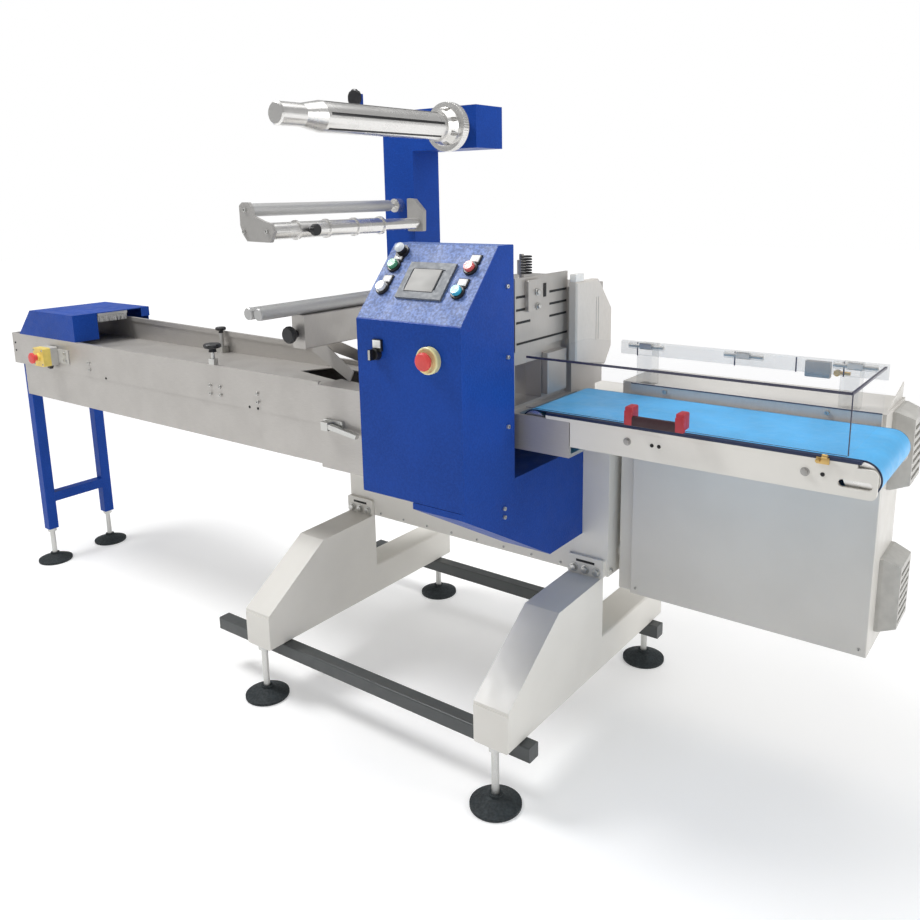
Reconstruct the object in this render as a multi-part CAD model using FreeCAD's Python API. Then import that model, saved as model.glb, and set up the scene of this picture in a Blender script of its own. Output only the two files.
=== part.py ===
import FreeCAD, Part

import math
import os

# Horizontal flow wrapper.  +X is the discharge end, -Y the operator's side, +Z is up.
# Pieces are laid out about the middle of the two leg beams, on the floor, and every
# solid is moved at the end so that the origin lies under the middle of the machine.

V = FreeCAD.Vector
ALONG_X = V(1, 0, 0)
ALONG_Y = V(0, 1, 0)
ALONG_Z = V(0, 0, 1)

# ---- clearances -------------------------------------------------------------
seat = 0.3            # round piece in or beside another, and hinge or bearing faces
play = 0.05           # a turning piece round its shaft or pin
free = 6.0            # air between a moving guard and what stands still

# ---- leg frame --------------------------------------------------------------
beam_side = 100.0
beam_spread = 826.0   # middle of one leg beam to middle of the other
beam_front = -429.0
beam_rear = 420.0
beam_bottom = 165.0
beam_corner = 7.0
tie_side = 40.0
tie_corner = 4.0
tie_left = -660.0
tie_right = 490.0
tie_front_y = -360.0
tie_rear_y = 355.0
gusset_lip = 8.0      # height of the gusset's front edge above the beam
gusset_break_y = -200.0
gusset_break_drop = 7.0
gusset_lap = 3.0      # how far the gusset reaches under the machine body

# ---- levelling feet ---------------------------------------------------------
pad_r = 64.0
pad_rim = 9.0
pad_height = 34.0
pad_neck_r = 17.0
stem_r = 9.5
stem_nut_r = 17.0
stem_nut_h = 14.0
foot_inset = 411.0    # feet in front of and behind the middle of the beams

# ---- machine body -----------------------------------------------------------
body_length = 926.0
body_front = 28.0
body_rear = 350.0
body_bottom = 437.0
body_top = 900.0
body_corner = 4.0
side_plate = 14.0
side_plate_rise = 4.0
bracket_length = 108.0
bracket_rise = 52.0
bracket_plate = 10.0
bracket_overhang = 6.0

# ---- infeed trough ----------------------------------------------------------
line_y = -127.0       # middle of the product line
trough_width = 296.0
trough_left = -1981.0
trough_right = -270.0
trough_top = 946.0
trough_ledge = 828.0
trough_bottom = 709.0
trough_sheet = 3.0
trough_lip = 12.0
bed_top = 930.0
skirt_left = -1910.0
skirt_inset = 2.0
infeed_guide_y = -43.0
infeed_guide_sheet = 4.0
infeed_guide_rail = 15.0
infeed_guide_left_top = 1017.0
infeed_guide_right_top = 992.0
infeed_guide_left = -1800.0
infeed_guide_right = -440.0
clamp_front_x = -738.0
clamp_rear_x = -960.0

# ---- infeed legs ------------------------------------------------------------
infeed_leg_x = -1909.0
infeed_leg_side = 40.0
infeed_leg_bottom = 140.0
infeed_cross_bottom = 252.0
infeed_cross_side = 38.0

# ---- infeed hood ------------------------------------------------------------
hood_foot_left = -1920.0
hood_top_left = -1822.0
hood_right = -1520.0
hood_rear = 37.0
hood_height = 97.0
hood_sheet = 3.0
hood_mouth_front = -180.0
hood_mouth_lip = 35.0
brush_back = 12.0
brush_length = 34.0
brush_tuft = 6.0
brush_gap = 3.0
brush_front = -175.0
brush_rear = -55.0

# ---- infeed stop box --------------------------------------------------------
stop_x = -1679.0
stop_z = 886.0
stop_width = 70.0
stop_height = 68.0
stop_base_depth = 27.0
stop_lid_depth = 29.0
stop_corner = 5.0
stop_foot_plate = 3.0
stop_foot_right = -1573.0
stop_foot_height = 52.0

# ---- stop buttons -----------------------------------------------------------
mushroom_r = 20.0
mushroom_h = 13.0
mushroom_neck_r = 12.0
mushroom_stand = 18.0  # underside of the mushroom above its box
mushroom_travel = 4.0
collar_r = 15.0
collar_h = 8.0

# ---- forming housing and former ---------------------------------------------
housing_front = -275.0
housing_step = 250.0   # right end of the deep part
housing_right = 530.0
housing_low = 700.0
housing_high = 862.0
housing_deck = 938.0
throat_tip_x = -486.0
throat_tip_y = -140.0
throat_right = -60.0
throat_front = -212.0
throat_bend_x = -228.0
throat_bend_y = -193.0
throat_depth = 90.0
plough_sheet = 3.0
plough_width = 30.0
plough_top = 1000.0
plough_split = 24.0
plough_seat = 5.0     # how far a plate stands on the deck beside the throat
latch_x = -205.0
latch_z = 830.0

# ---- film stand -------------------------------------------------------------
column_left = -421.0
column_width = 120.0
column_front = 200.0
column_depth = 126.0
arm_right = -59.0
arm_depth = 133.0
arm_bottom = 1580.0
arm_top = 1701.0
stand_foot_plate = 14.0
stand_foot_margin = 18.0

# ---- film spindle -----------------------------------------------------------
spindle_x = -118.0
spindle_z = 1638.0
spindle_r = 38.0
spindle_cap_r = 27.5
spindle_front = -505.0
spindle_cone_front = -427.0
spindle_tube_front = -369.0
spindle_hub_front = 92.0
flange_front = 128.0
flange_rim = 26.0
flange_r = 68.0
hub_r = 54.0
journal_r = 24.0
groove_width = 7.0
groove_depth = 3.5
groove_count = 6
groove_start = 8.0     # turn of the first groove from +X, in degrees
hub_hole_r = 7.0
hub_hole_count = 8

# ---- brake handwheel --------------------------------------------------------
wheel_x = -528.0
wheel_z = 1752.0
wheel_r = 27.5
wheel_width = 24.0
wheel_arm = 14.0

# ---- guide rollers and their plates -----------------------------------------
roller_x = -360.0
roller_z = 1417.0
roller_r = 17.0
roller_front = -402.0
roller_rear = 145.0
roller_shaft_r = 8.0
roller_disc_r = 21.0
roller_bare = 28.0     # bare shaft between the roller and its disc
bar_x = -280.0
bar_z = 1363.0
bar_r = 22.0
bar_thin_r = 17.0
bar_thin_front = 12.0
bar_ring_r = 26.0
bar_ring = 5.0
bar_ring_first = -318.0
bar_ring_pitch = 110.0
bar_ring_count = 4
bar_knob_y = -285.0
end_plate = 10.0
end_plate_y = -402.0
bracket_front = 184.0

# ---- film arm over the former -----------------------------------------------
film_arm_left = -350.0
film_arm_width = 50.0
film_arm_bottom = 1036.0
film_arm_top = 1130.0
film_arm_front = -285.0
rod_r = 16.5
rod_first_x = -360.0
rod_pitch = 40.0
rod_front = -428.0
rod_cap = 8.0
rod_lift = 1.0
rod_shaft_r = 6.0
rod_blind = 24.0

# ---- console ----------------------------------------------------------------
console_left = 105.0
console_right = 400.0
console_front = -500.0
console_rear = -300.0
console_bottom = 769.0
console_top = 1339.0
slope_foot = 1178.0
slope_head = -358.0
console_arm_left = 256.0
console_arm_bend_y = -140.0
console_arm_bottom = 550.0
console_arm_top = 797.0
console_arm_nose = 754.0
console_face_x = 212.0     # stop button from the console's left side
console_face_z = 1103.0
estop_ring_r = 30.0
estop_ring_h = 14.0
estop_ring_wall = 4.0
selector_x = 59.0
selector_r = 13.0
selector_h = 20.0
screen_left = 84.0
screen_foot = 62.0
screen_width = 129.0
screen_height = 97.0
screen_stand = 6.0
screen_glass = 2.0
screen_border = 15.0
button_r = 14.0
button_h = 16.0
button_collar_r = 17.0
button_collar_h = 7.0
button_travel = 4.0
button_places = {
    "green": (35.0, 148.0),
    "white": (34.0, 85.0),
    "red": (252.0, 150.0),
    "blue": (248.0, 86.0),
}
lamp_place = (40.0, 188.0)

# ---- sealing head -----------------------------------------------------------
head_left = 240.0
head_face = 370.0
head_sheet = 6.0
head_front = -250.0
head_rear = -10.0
head_top = 1257.0
head_sill = 1085.0
tunnel_front = -243.0
tunnel_rear = -125.0
tunnel_top = 1052.0
slot_height = 6.0
slot_pitch = 30.0
slot_first = 1150.0
gear_right = 405.0
gear_cover_depth = 22.0
gear_front = -24.0
gear_rear = 167.0
gear_foot = 998.0
gear_head = 1230.0

# ---- discharge conveyor -----------------------------------------------------
frame_left = 532.0
frame_right = 1171.0
frame_bottom = 889.0
frame_top = 946.0
frame_plate = 8.0
frame_nose_r = 12.0
belt_front = -262.0
belt_rear = 0.0
belt_top = 960.0
belt_sheet = 3.0
belt_end_x = 1141.0
belt_start_x = 432.0
belt_bend_r = 36.0
roller_shaft = 10.0
slider_sheet = 5.0
rail_right = 1116.0
rail_top = 985.0
rail_foot = 930.0
rail_sheet = 5.0
tension_left = 1103.0
tension_right = 1163.0
tension_height = 15.0
tension_z = 914.0

# ---- clear cover ------------------------------------------------------------
cover_left = 415.0
cover_right = 1118.0
cover_front = -275.0
cover_rear = 12.0
cover_bottom = 966.0
cover_top = 1086.0
cover_sheet = 4.0
handle_left = 680.0
handle_right = 812.0
handle_z = 990.0
handle_height = 40.0
handle_reach = 34.0
hinge_pin_r = 4.0
hinge_barrel_r = 8.0
hinge_rise = 9.0
hinge_length = 30.0
hinge_places = (560.0, 800.0, 1040.0)

# ---- cabinet ----------------------------------------------------------------
cabinet_left = 492.0
cabinet_right = 1119.0
cabinet_front = 65.0
cabinet_rear = 247.0
cabinet_bottom = 405.0
cabinet_top = 975.0
panel_sheet = 15.0
panel_left = 533.0
boss_r = 18.0
fan_front = 112.0
fan_side = 128.0
fan_low = 445.0
fan_high = 790.0
fan_height = 178.0
fan_depth = 45.0
fan_louvres = 7


# ---- shape helpers ----------------------------------------------------------
def block(x0, x1, y0, y1, z0, z1):
    return Part.makeBox(x1 - x0, y1 - y0, z1 - z0, V(x0, y0, z0))


def centred(x, y, z, size_x, size_y, size_z):
    corner = V(x - size_x / 2, y - size_y / 2, z - size_z / 2)
    return Part.makeBox(size_x, size_y, size_z, corner)


def rod(radius, start, direction, length):
    return Part.makeCylinder(radius, length, start, direction)


def prism(points, direction):
    """A flat outline of vectors, swept straight along direction."""
    outline = Part.makePolygon(points + [points[0]])
    return Part.Face(outline).extrude(direction)


def along_x(outline, x0, x1):
    """A (y, z) outline swept from x0 to x1."""
    return prism([V(x0, y, z) for y, z in outline], V(x1 - x0, 0, 0))


def along_y(outline, y0, y1):
    """An (x, z) outline swept from y0 to y1."""
    return prism([V(x, y0, z) for x, z in outline], V(0, y1 - y0, 0))


def along_z(outline, z0, z1):
    """An (x, y) outline swept from z0 to z1."""
    return prism([V(x, y, z0) for x, y in outline], V(0, 0, z1 - z0))


def turned(profile, base, axis):
    """A (radius, height) half profile revolved about an axis through base."""
    points = [V(radius, 0, height) for radius, height in profile]
    outline = Part.makePolygon(points + [points[0]])
    solid = Part.Face(outline).revolve(V(0, 0, 0), ALONG_Z, 360)
    turn = FreeCAD.Rotation(ALONG_Z, axis)
    solid.Placement = FreeCAD.Placement(base, turn)
    return solid


def hexagon(radius, height, base, axis):
    points = [
        V(radius * math.cos(math.radians(60 * k)), radius * math.sin(math.radians(60 * k)), 0)
        for k in range(6)
    ]
    solid = prism(points, V(0, 0, height))
    solid.Placement = FreeCAD.Placement(base, FreeCAD.Rotation(ALONG_Z, axis))
    return solid


def rounded(shape, radius, direction):
    """Fillets the straight edges that run along direction."""
    picked = []
    for edge in shape.Edges:
        if edge.Curve.TypeId != "Part::GeomLine":
            continue
        if edge.tangentAt(edge.FirstParameter).cross(direction).Length < 1e-6:
            picked.append(edge)
    return shape.makeFillet(radius, picked)


def joined(shapes):
    whole = shapes[0].fuse(shapes[1:])
    return whole.removeSplitter()


def mirrored_x(shape):
    return shape.mirror(V(0, 0, 0), ALONG_X)


# ---- sizes that follow ------------------------------------------------------
beam_top = beam_bottom + beam_side
beam_left_x = -beam_spread / 2
beam_right_x = beam_spread / 2
body_left = -body_length / 2
body_right = body_length / 2
side_right = body_right + side_plate
trough_front = line_y - trough_width / 2
trough_rear = line_y + trough_width / 2
column_right = column_left + column_width
column_rear = column_front + column_depth
arm_rear = column_front + arm_depth
film_arm_right = film_arm_left + film_arm_width
rod_z = film_arm_top + rod_lift + rod_r
rod_second_x = rod_first_x + rod_pitch
belt_axis_z = belt_top - belt_bend_r
slope_rise = console_top - slope_foot
slope_run = slope_head - console_front
slope_length = math.hypot(slope_rise, slope_run)
slope_up = V(0, slope_run / slope_length, slope_rise / slope_length)
slope_out = V(0, -slope_rise / slope_length, slope_run / slope_length)
infeed_leg_front_y = trough_front + skirt_inset + trough_sheet + infeed_leg_side / 2
infeed_leg_rear_y = trough_rear - skirt_inset - trough_sheet - infeed_leg_side / 2
discharge_rear = belt_rear + 5
belt_bay_left = belt_start_x - belt_bend_r - 8
hinge_y = cover_rear + hinge_barrel_r + seat
hinge_z = cover_top - hinge_barrel_r
cover_stand_y = hinge_y + hinge_barrel_r + free
stop_bore_r = mushroom_neck_r - 2 + seat
stop_face = V(stop_x, trough_front - stop_foot_plate - stop_base_depth - stop_lid_depth, stop_z)
estop_face = V(console_left + console_face_x, console_front, console_face_z)
selector_face = V(console_left + selector_x, console_front, console_face_z)


# ---- leg frame --------------------------------------------------------------
def leg_frame(middle_x):
    left = middle_x - beam_side / 2
    right = middle_x + beam_side / 2
    beam = block(left, right, beam_front, beam_rear, beam_bottom, beam_top)
    beam = rounded(beam, beam_corner, ALONG_Y)
    front = beam_front + 2
    rear = body_front + gusset_lap
    outline = [
        (front, beam_top - beam_corner),
        (rear, beam_top - beam_corner),
        (rear, body_bottom),
        (body_front - bracket_plate, body_bottom),
        (gusset_break_y, body_bottom - gusset_break_drop),
        (front, beam_top + gusset_lip),
    ]
    gusset = along_x(outline, left, right)
    return joined([beam, gusset])


def tie_bars():
    bars = []
    for y in (tie_front_y, tie_rear_y):
        bar = block(tie_left, tie_right, y - tie_side / 2, y + tie_side / 2,
                    beam_bottom - tie_side, beam_bottom)
        bars.append(rounded(bar, tie_corner, ALONG_X))
    return bars


def foot_places():
    """Middle of each foot, with the height of what it carries."""
    places = []
    for x in (beam_left_x, beam_right_x):
        for y in (-foot_inset, foot_inset):
            places.append((x, y, beam_bottom))
    for y in (infeed_leg_front_y, infeed_leg_rear_y):
        places.append((infeed_leg_x, y, infeed_leg_bottom))
    return places


def foot_pads():
    profile = [
        (0, 0),
        (pad_r - 2, 0),
        (pad_r, 2),
        (pad_r, pad_rim),
        (pad_r - 6, pad_rim + 2),
        (pad_neck_r + 9, pad_height - 10),
        (pad_neck_r, pad_height - 6),
        (pad_neck_r, pad_height),
        (0, pad_height),
    ]
    return [turned(profile, V(x, y, 0), ALONG_Z) for x, y, top in foot_places()]


def foot_stems():
    stems = []
    for x, y, top in foot_places():
        stem = rod(stem_r, V(x, y, pad_height), ALONG_Z, top - pad_height)
        nut = hexagon(stem_nut_r, stem_nut_h, V(x, y, top - stem_nut_h), ALONG_Z)
        stems.append(joined([stem, nut]))
    return stems


# ---- machine body -----------------------------------------------------------
def machine_body():
    body = block(body_left, body_right, body_front, body_rear, body_bottom, body_top)
    return rounded(body, body_corner, ALONG_X)


def body_side_plate():
    plate = block(body_right, side_right, body_front, body_rear,
                  body_bottom + side_plate_rise, body_top)
    return rounded(plate, body_corner, ALONG_X)


def body_brackets():
    plates = []
    for outer in (body_left - bracket_overhang, body_right + bracket_overhang - bracket_length):
        plate = block(outer, outer + bracket_length, body_front - bracket_plate, body_front,
                      body_bottom, body_bottom + bracket_rise)
        plates.append(rounded(plate, 6, ALONG_Y))
    return plates


# ---- infeed -----------------------------------------------------------------
def throat():
    """The V-shaped opening that the film is drawn down through."""
    outline = [
        (throat_tip_x, throat_tip_y),
        (throat_bend_x, throat_bend_y),
        (throat_right, throat_front),
        (throat_right, infeed_guide_y - plough_sheet),
        (infeed_guide_right, infeed_guide_y - plough_sheet),
    ]
    return along_z(outline, housing_deck - throat_depth, trough_top + 1)


def infeed_trough():
    sheet = trough_sheet
    front = trough_front
    rear = trough_rear
    outline = [
        (front, trough_ledge),
        (front + sheet, trough_ledge),
        (front + sheet, bed_top - sheet),
        (rear - sheet, bed_top - sheet),
        (rear - sheet, trough_ledge),
        (rear, trough_ledge),
        (rear, trough_top),
        (rear - trough_lip, trough_top),
        (rear - trough_lip, trough_top - sheet),
        (rear - sheet, trough_top - sheet),
        (rear - sheet, bed_top),
        (front + sheet, bed_top),
        (front + sheet, trough_top - sheet),
        (front + trough_lip, trough_top - sheet),
        (front + trough_lip, trough_top),
        (front, trough_top),
    ]
    channel = along_x(outline, trough_left, trough_right)
    end = block(trough_left, trough_left + sheet, front, rear, trough_ledge, trough_top)
    whole = joined([channel, end])
    return whole.cut(throat())


def infeed_skirt():
    sheet = trough_sheet
    front = trough_front + skirt_inset
    rear = trough_rear - skirt_inset
    outline = [
        (front, trough_bottom),
        (rear, trough_bottom),
        (rear, trough_ledge),
        (rear - sheet, trough_ledge),
        (rear - sheet, trough_bottom + sheet),
        (front + sheet, trough_bottom + sheet),
        (front + sheet, trough_ledge),
        (front, trough_ledge),
    ]
    channel = along_x(outline, skirt_left, trough_right)
    half = infeed_leg_side / 2
    notch = block(skirt_left - 1, infeed_leg_x + half, front + sheet, rear - sheet,
                  trough_bottom - 1, trough_bottom + sheet + 1)
    return channel.cut(notch)


def infeed_guide():
    left = infeed_guide_left
    rail_drop = infeed_guide_rail
    plate = along_y(
        [
            (left, bed_top),
            (infeed_guide_right, bed_top),
            (infeed_guide_right, infeed_guide_right_top),
            (left, infeed_guide_left_top),
        ],
        infeed_guide_y,
        infeed_guide_y + infeed_guide_sheet,
    )
    rail = along_y(
        [
            (left, infeed_guide_left_top - rail_drop),
            (infeed_guide_right, infeed_guide_right_top - rail_drop),
            (infeed_guide_right, infeed_guide_right_top),
            (left, infeed_guide_left_top),
        ],
        infeed_guide_y - infeed_guide_sheet,
        infeed_guide_y + 2 * infeed_guide_sheet,
    )
    return joined([plate, rail])


def infeed_legs():
    half = infeed_leg_side / 2
    pieces = []
    for y in (infeed_leg_front_y, infeed_leg_rear_y):
        leg = block(infeed_leg_x - half, infeed_leg_x + half, y - half, y + half,
                    infeed_leg_bottom, trough_ledge)
        pieces.append(rounded(leg, 3, ALONG_Z))
    cross = block(infeed_leg_x - half + 1, infeed_leg_x + half - 1,
                  infeed_leg_front_y + half - 3, infeed_leg_rear_y - half + 3,
                  infeed_cross_bottom, infeed_cross_bottom + infeed_cross_side)
    return joined(pieces + [cross])


def infeed_hood():
    top = trough_top + hood_height
    sheet = hood_sheet
    outline = [
        (hood_foot_left, trough_top),
        (hood_right, trough_top),
        (hood_right, top),
        (hood_top_left, top),
    ]
    inner = [
        (hood_foot_left + 2 * sheet, trough_top - 1),
        (hood_right - sheet, trough_top - 1),
        (hood_right - sheet, top - sheet),
        (hood_top_left + sheet, top - sheet),
    ]
    shell = along_y(outline, trough_front, hood_rear)
    hollow = along_y(inner, trough_front + sheet, hood_rear - sheet)
    mouth = block(hood_right - 2 * sheet, hood_right + 1, hood_mouth_front, hood_rear + 1,
                  trough_top - 1, top - hood_mouth_lip)
    mouth_top = block(hood_right - 2 * sheet, hood_right + 1, hood_mouth_front,
                      hood_rear - hood_mouth_lip, trough_top - 1, top - sheet)
    return shell.cut(hollow).cut(mouth).cut(mouth_top)


def hood_brush():
    top = trough_top + hood_height - hood_sheet
    x0 = hood_right - 2 * hood_sheet
    x1 = hood_right - hood_sheet
    pieces = [block(x0, x1, brush_front, brush_rear, top - brush_back, top)]
    step = brush_tuft + brush_gap
    count = int((brush_rear - brush_front - brush_tuft) / step) + 1
    for k in range(count):
        y = brush_front + k * step
        pieces.append(block(x0, x1, y, y + brush_tuft, top - brush_length, top - brush_back + 1))
    return joined(pieces)


# ---- stop buttons -----------------------------------------------------------
def stop_box():
    left = stop_x - stop_width / 2
    right = stop_x + stop_width / 2
    rear = trough_front - stop_foot_plate
    low = stop_z - stop_height / 2
    foot = block(left, stop_foot_right, rear, trough_front,
                 stop_z - stop_foot_height / 2, stop_z + stop_foot_height / 2)
    base = block(left, right, rear - stop_base_depth, rear, low, low + stop_height)
    base = rounded(base, stop_corner, ALONG_Y)
    return joined([foot, base])


def stop_box_lid():
    left = stop_x - stop_width / 2
    right = stop_x + stop_width / 2
    rear = trough_front - stop_foot_plate - stop_base_depth
    low = stop_z - stop_height / 2
    lid = block(left, right, rear - stop_lid_depth, rear, low, low + stop_height)
    lid = rounded(lid, stop_corner, ALONG_Y)
    collar = rod(collar_r, V(stop_x, rear - stop_lid_depth, stop_z), -ALONG_Y, collar_h)
    bore = rod(stop_bore_r, V(stop_x, rear - stop_lid_depth - collar_h - 1, stop_z),
               ALONG_Y, collar_h + 1 + mushroom_travel + 2)
    return joined([lid, collar]).cut(bore)


def mushroom_button(face, out):
    """A mushroom head on a neck that slides into its collar; face is the box face."""
    stand = mushroom_stand
    profile = [
        (0, 1),
        (mushroom_neck_r - 2, 1),
        (mushroom_neck_r - 2, stand),
        (mushroom_r - 3, stand),
        (mushroom_r, stand + 3),
        (mushroom_r, stand + mushroom_h - 4),
        (mushroom_r - 4, stand + mushroom_h - 1),
        (mushroom_r - 12, stand + mushroom_h),
        (0, stand + mushroom_h),
    ]
    return turned(profile, face, out)


def estop_ring():
    profile = [
        (stop_bore_r, 0),
        (estop_ring_r, 0),
        (estop_ring_r, estop_ring_h - 2),
        (estop_ring_r - 2, estop_ring_h),
        (estop_ring_r - estop_ring_wall, estop_ring_h),
        (estop_ring_r - estop_ring_wall - 2, collar_h),
        (stop_bore_r, collar_h),
    ]
    return turned(profile, estop_face, -ALONG_Y)


# ---- forming housing --------------------------------------------------------
def forming_housing():
    deep = block(trough_right, housing_step, housing_front, body_front,
                 housing_low, housing_deck)
    shallow = block(housing_step, housing_right, housing_front, body_front,
                    housing_high, trough_top)
    deep = deep.cut(throat())
    whole = joined([deep, shallow])
    belt_bay = block(belt_bay_left, housing_right + 1, housing_front + frame_plate,
                     discharge_rear, housing_high + frame_plate, trough_top + 1)
    return whole.cut(belt_bay)


def plough(side, foot_y):
    """One folding plate: a sheet strip leaning from high over the tip to the deck."""
    top = V(throat_tip_x + 70, line_y + side * plough_split, plough_top)
    foot = V(throat_bend_x + 8, foot_y, housing_deck)
    run = (foot - top).normalize()
    lean = V(1, 0, 0.55).normalize()
    across = (lean - run * lean.dot(run)).normalize()
    thick = run.cross(across).normalize() * plough_sheet
    if thick.z < 0:
        thick = -thick
    corners = [top, foot, foot + across * plough_width, top + across * plough_width * 1.6]
    return prism(corners, thick)


def former_plates():
    return [
        plough(-1, throat_bend_y - plough_seat),
        plough(1, infeed_guide_y - plough_sheet + plough_seat),
    ]


def toggle_latch():
    base = block(latch_x - 44, latch_x + 30, housing_front - 8, housing_front,
                 latch_z - 16, latch_z + 16)
    base = rounded(base, 5, ALONG_Y)
    hinge = centred(latch_x - 22, housing_front - 17, latch_z, 26, 20, 24)
    lever = along_y(
        [
            (latch_x - 12, latch_z - 6),
            (latch_x + 92, latch_z - 20),
            (latch_x + 98, latch_z - 8),
            (latch_x - 12, latch_z + 8),
        ],
        housing_front - 26,
        housing_front - 12,
    )
    return joined([base, hinge, lever])


# ---- film stand -------------------------------------------------------------
def film_stand():
    column = block(column_left, column_right, column_front, column_rear, body_top, arm_top)
    arm = block(column_left, arm_right, column_front, arm_rear, arm_bottom, arm_top)
    foot = block(column_left - stand_foot_margin, column_right + stand_foot_margin,
                 column_front - stand_foot_margin, column_rear, body_top,
                 body_top + stand_foot_plate)
    bracket = along_y(
        [
            (column_left, wheel_z - 60),
            (column_left, wheel_z - 60 - wheel_arm),
            (wheel_x - wheel_arm / 2, wheel_z - 60 - wheel_arm),
            (wheel_x - wheel_arm / 2, wheel_z + wheel_arm),
            (wheel_x + wheel_arm / 2, wheel_z + wheel_arm),
            (wheel_x + wheel_arm / 2, wheel_z - 60),
        ],
        column_front + 10,
        column_front + 10 + wheel_arm,
    )
    return joined([column, arm, foot, bracket])


def film_spindle():
    profile = [
        (0, spindle_front),
        (spindle_cap_r - 4, spindle_front),
        (spindle_cap_r, spindle_front + 4),
        (spindle_cap_r, spindle_cone_front),
        (spindle_r, spindle_tube_front),
        (spindle_r, spindle_hub_front),
        (0, spindle_hub_front),
    ]
    body = turned(profile, V(spindle_x, 0, spindle_z), ALONG_Y)
    length = spindle_hub_front - spindle_tube_front
    cutters = []
    for k in range(groove_count):
        cutter = Part.makeBox(2 * groove_depth, length - 20, groove_width,
                              V(spindle_r - groove_depth, 0, -groove_width / 2))
        cutter.rotate(V(0, 0, 0), ALONG_Y, -(groove_start + 360.0 / groove_count * k))
        cutter.translate(V(spindle_x, spindle_tube_front + 10, spindle_z))
        cutters.append(cutter)
    return body.cut(cutters)


def spindle_flange():
    rear = column_front - seat
    profile = [
        (0, spindle_hub_front),
        (spindle_r + 5, spindle_hub_front),
        (hub_r, flange_front - 6),
        (hub_r, flange_front),
        (flange_r, flange_front),
        (flange_r, flange_front + flange_rim),
        (journal_r + 12, flange_front + flange_rim + 8),
        (journal_r + 12, rear),
        (0, rear),
    ]
    body = turned(profile, V(spindle_x, 0, spindle_z), ALONG_Y)
    cutters = []
    for k in range(hub_hole_count):
        angle = math.radians(360.0 / hub_hole_count * k + 20)
        out = V(math.cos(angle), 0, math.sin(angle))
        middle = (hub_r + spindle_r) / 2 + 2
        start = V(spindle_x, flange_front - 26, spindle_z) + out * middle
        cutters.append(rod(hub_hole_r, start, ALONG_Y, 24))
    return body.cut(cutters)


# ---- hand knobs -------------------------------------------------------------
def knob(radius, height, base, axis):
    """A moulded grip: a waisted neck under a rim with shallow lobes."""
    profile = [
        (0, 0),
        (radius * 0.45, 0),
        (radius * 0.4, height * 0.35),
        (radius * 0.9, height * 0.5),
        (radius, height * 0.62),
        (radius, height * 0.88),
        (radius * 0.85, height),
        (0, height),
    ]
    grip = turned(profile, V(0, 0, 0), ALONG_Z)
    lobes = []
    for k in range(6):
        angle = math.radians(60 * k)
        reach = radius * 1.28
        base_point = V(reach * math.cos(angle), reach * math.sin(angle), height * 0.3)
        lobes.append(rod(radius * 0.38, base_point, ALONG_Z, height))
    grip = grip.cut(lobes)
    grip.Placement = FreeCAD.Placement(base, FreeCAD.Rotation(ALONG_Z, axis))
    return grip


def guide_clamps():
    """Pillars that carry the hand knobs over the trough."""
    front_clamp = joined([
        centred(clamp_front_x, trough_front + 8, trough_top + 9, 26, 16, 18),
        rod(6, V(clamp_front_x, trough_front + 8, trough_top + 17), ALONG_Z, 22),
    ])
    rear_top = infeed_guide_right_top + 6
    rear_clamp = joined([
        block(clamp_rear_x - 16, clamp_rear_x + 16, infeed_guide_y - 30,
              infeed_guide_y - infeed_guide_sheet, bed_top, bed_top + 20),
        rod(7, V(clamp_rear_x, infeed_guide_y - 18, bed_top + 19), ALONG_Z,
            rear_top - bed_top - 19),
    ])
    return [front_clamp, rear_clamp]


def hand_knobs():
    return [
        knob(27, 26, V(clamp_front_x, trough_front + 8, trough_top + 39), ALONG_Z),
        knob(18, 20, V(clamp_rear_x, infeed_guide_y - 18, infeed_guide_right_top + 6), ALONG_Z),
        knob(24, 34, V((film_arm_left + film_arm_right) / 2 - 10, film_arm_front, 1077), -ALONG_Y),
        knob(wheel_r, wheel_width, V(wheel_x, column_front + 10, wheel_z), -ALONG_Y),
        knob(16, 30, V(bar_x + bar_r, bar_knob_y, bar_z), ALONG_X),
    ]


# ---- guide rollers ----------------------------------------------------------
def guide_roller():
    tube = rod(roller_r, V(roller_x, roller_front + seat, roller_z), ALONG_Y,
               roller_rear - roller_front - seat)
    bore = rod(roller_shaft_r + play, V(roller_x, roller_front - 1, roller_z), ALONG_Y,
               roller_rear - roller_front + 2)
    return tube.cut(bore)


def tension_bar():
    pieces = [
        rod(bar_r, V(bar_x, end_plate_y, bar_z), ALONG_Y, bar_thin_front - end_plate_y),
        rod(bar_thin_r, V(bar_x, bar_thin_front - 1, bar_z), ALONG_Y,
            bracket_front - bar_thin_front + 1),
    ]
    for k in range(bar_ring_count):
        y = bar_ring_first + k * bar_ring_pitch
        pieces.append(rod(bar_ring_r, V(bar_x, y, bar_z), ALONG_Y, bar_ring))
    return joined(pieces)


def roller_plates():
    front_plate = along_y(
        [
            (roller_x - 24, roller_z - 40),
            (roller_x - 24, roller_z + 12),
            (roller_x - 12, roller_z + 20),
            (roller_x + 12, roller_z + 20),
            (roller_x + 22, roller_z + 8),
            (roller_x + 26, roller_z - 14),
            (bar_x - 14, bar_z + 26),
            (bar_x + 14, bar_z + 20),
            (bar_x + 26, bar_z),
            (bar_x + 10, bar_z - 28),
            (roller_x, bar_z - 26),
            (roller_x - 14, bar_z - 10),
        ],
        end_plate_y - end_plate,
        end_plate_y,
    )
    front_plate = rounded(front_plate, 5, ALONG_Y)
    rear_plate = along_y(
        [
            (bar_x - 37, bar_z - 25),
            (bar_x + 24, bar_z - 25),
            (bar_x + 26, bar_z + 38),
            (bar_x - 9, bar_z + 73),
            (bar_x - 37, bar_z + 76),
        ],
        bracket_front,
        column_front,
    )
    rear_plate = rounded(rear_plate, 5, ALONG_Y)
    return [front_plate, rear_plate]


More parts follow.
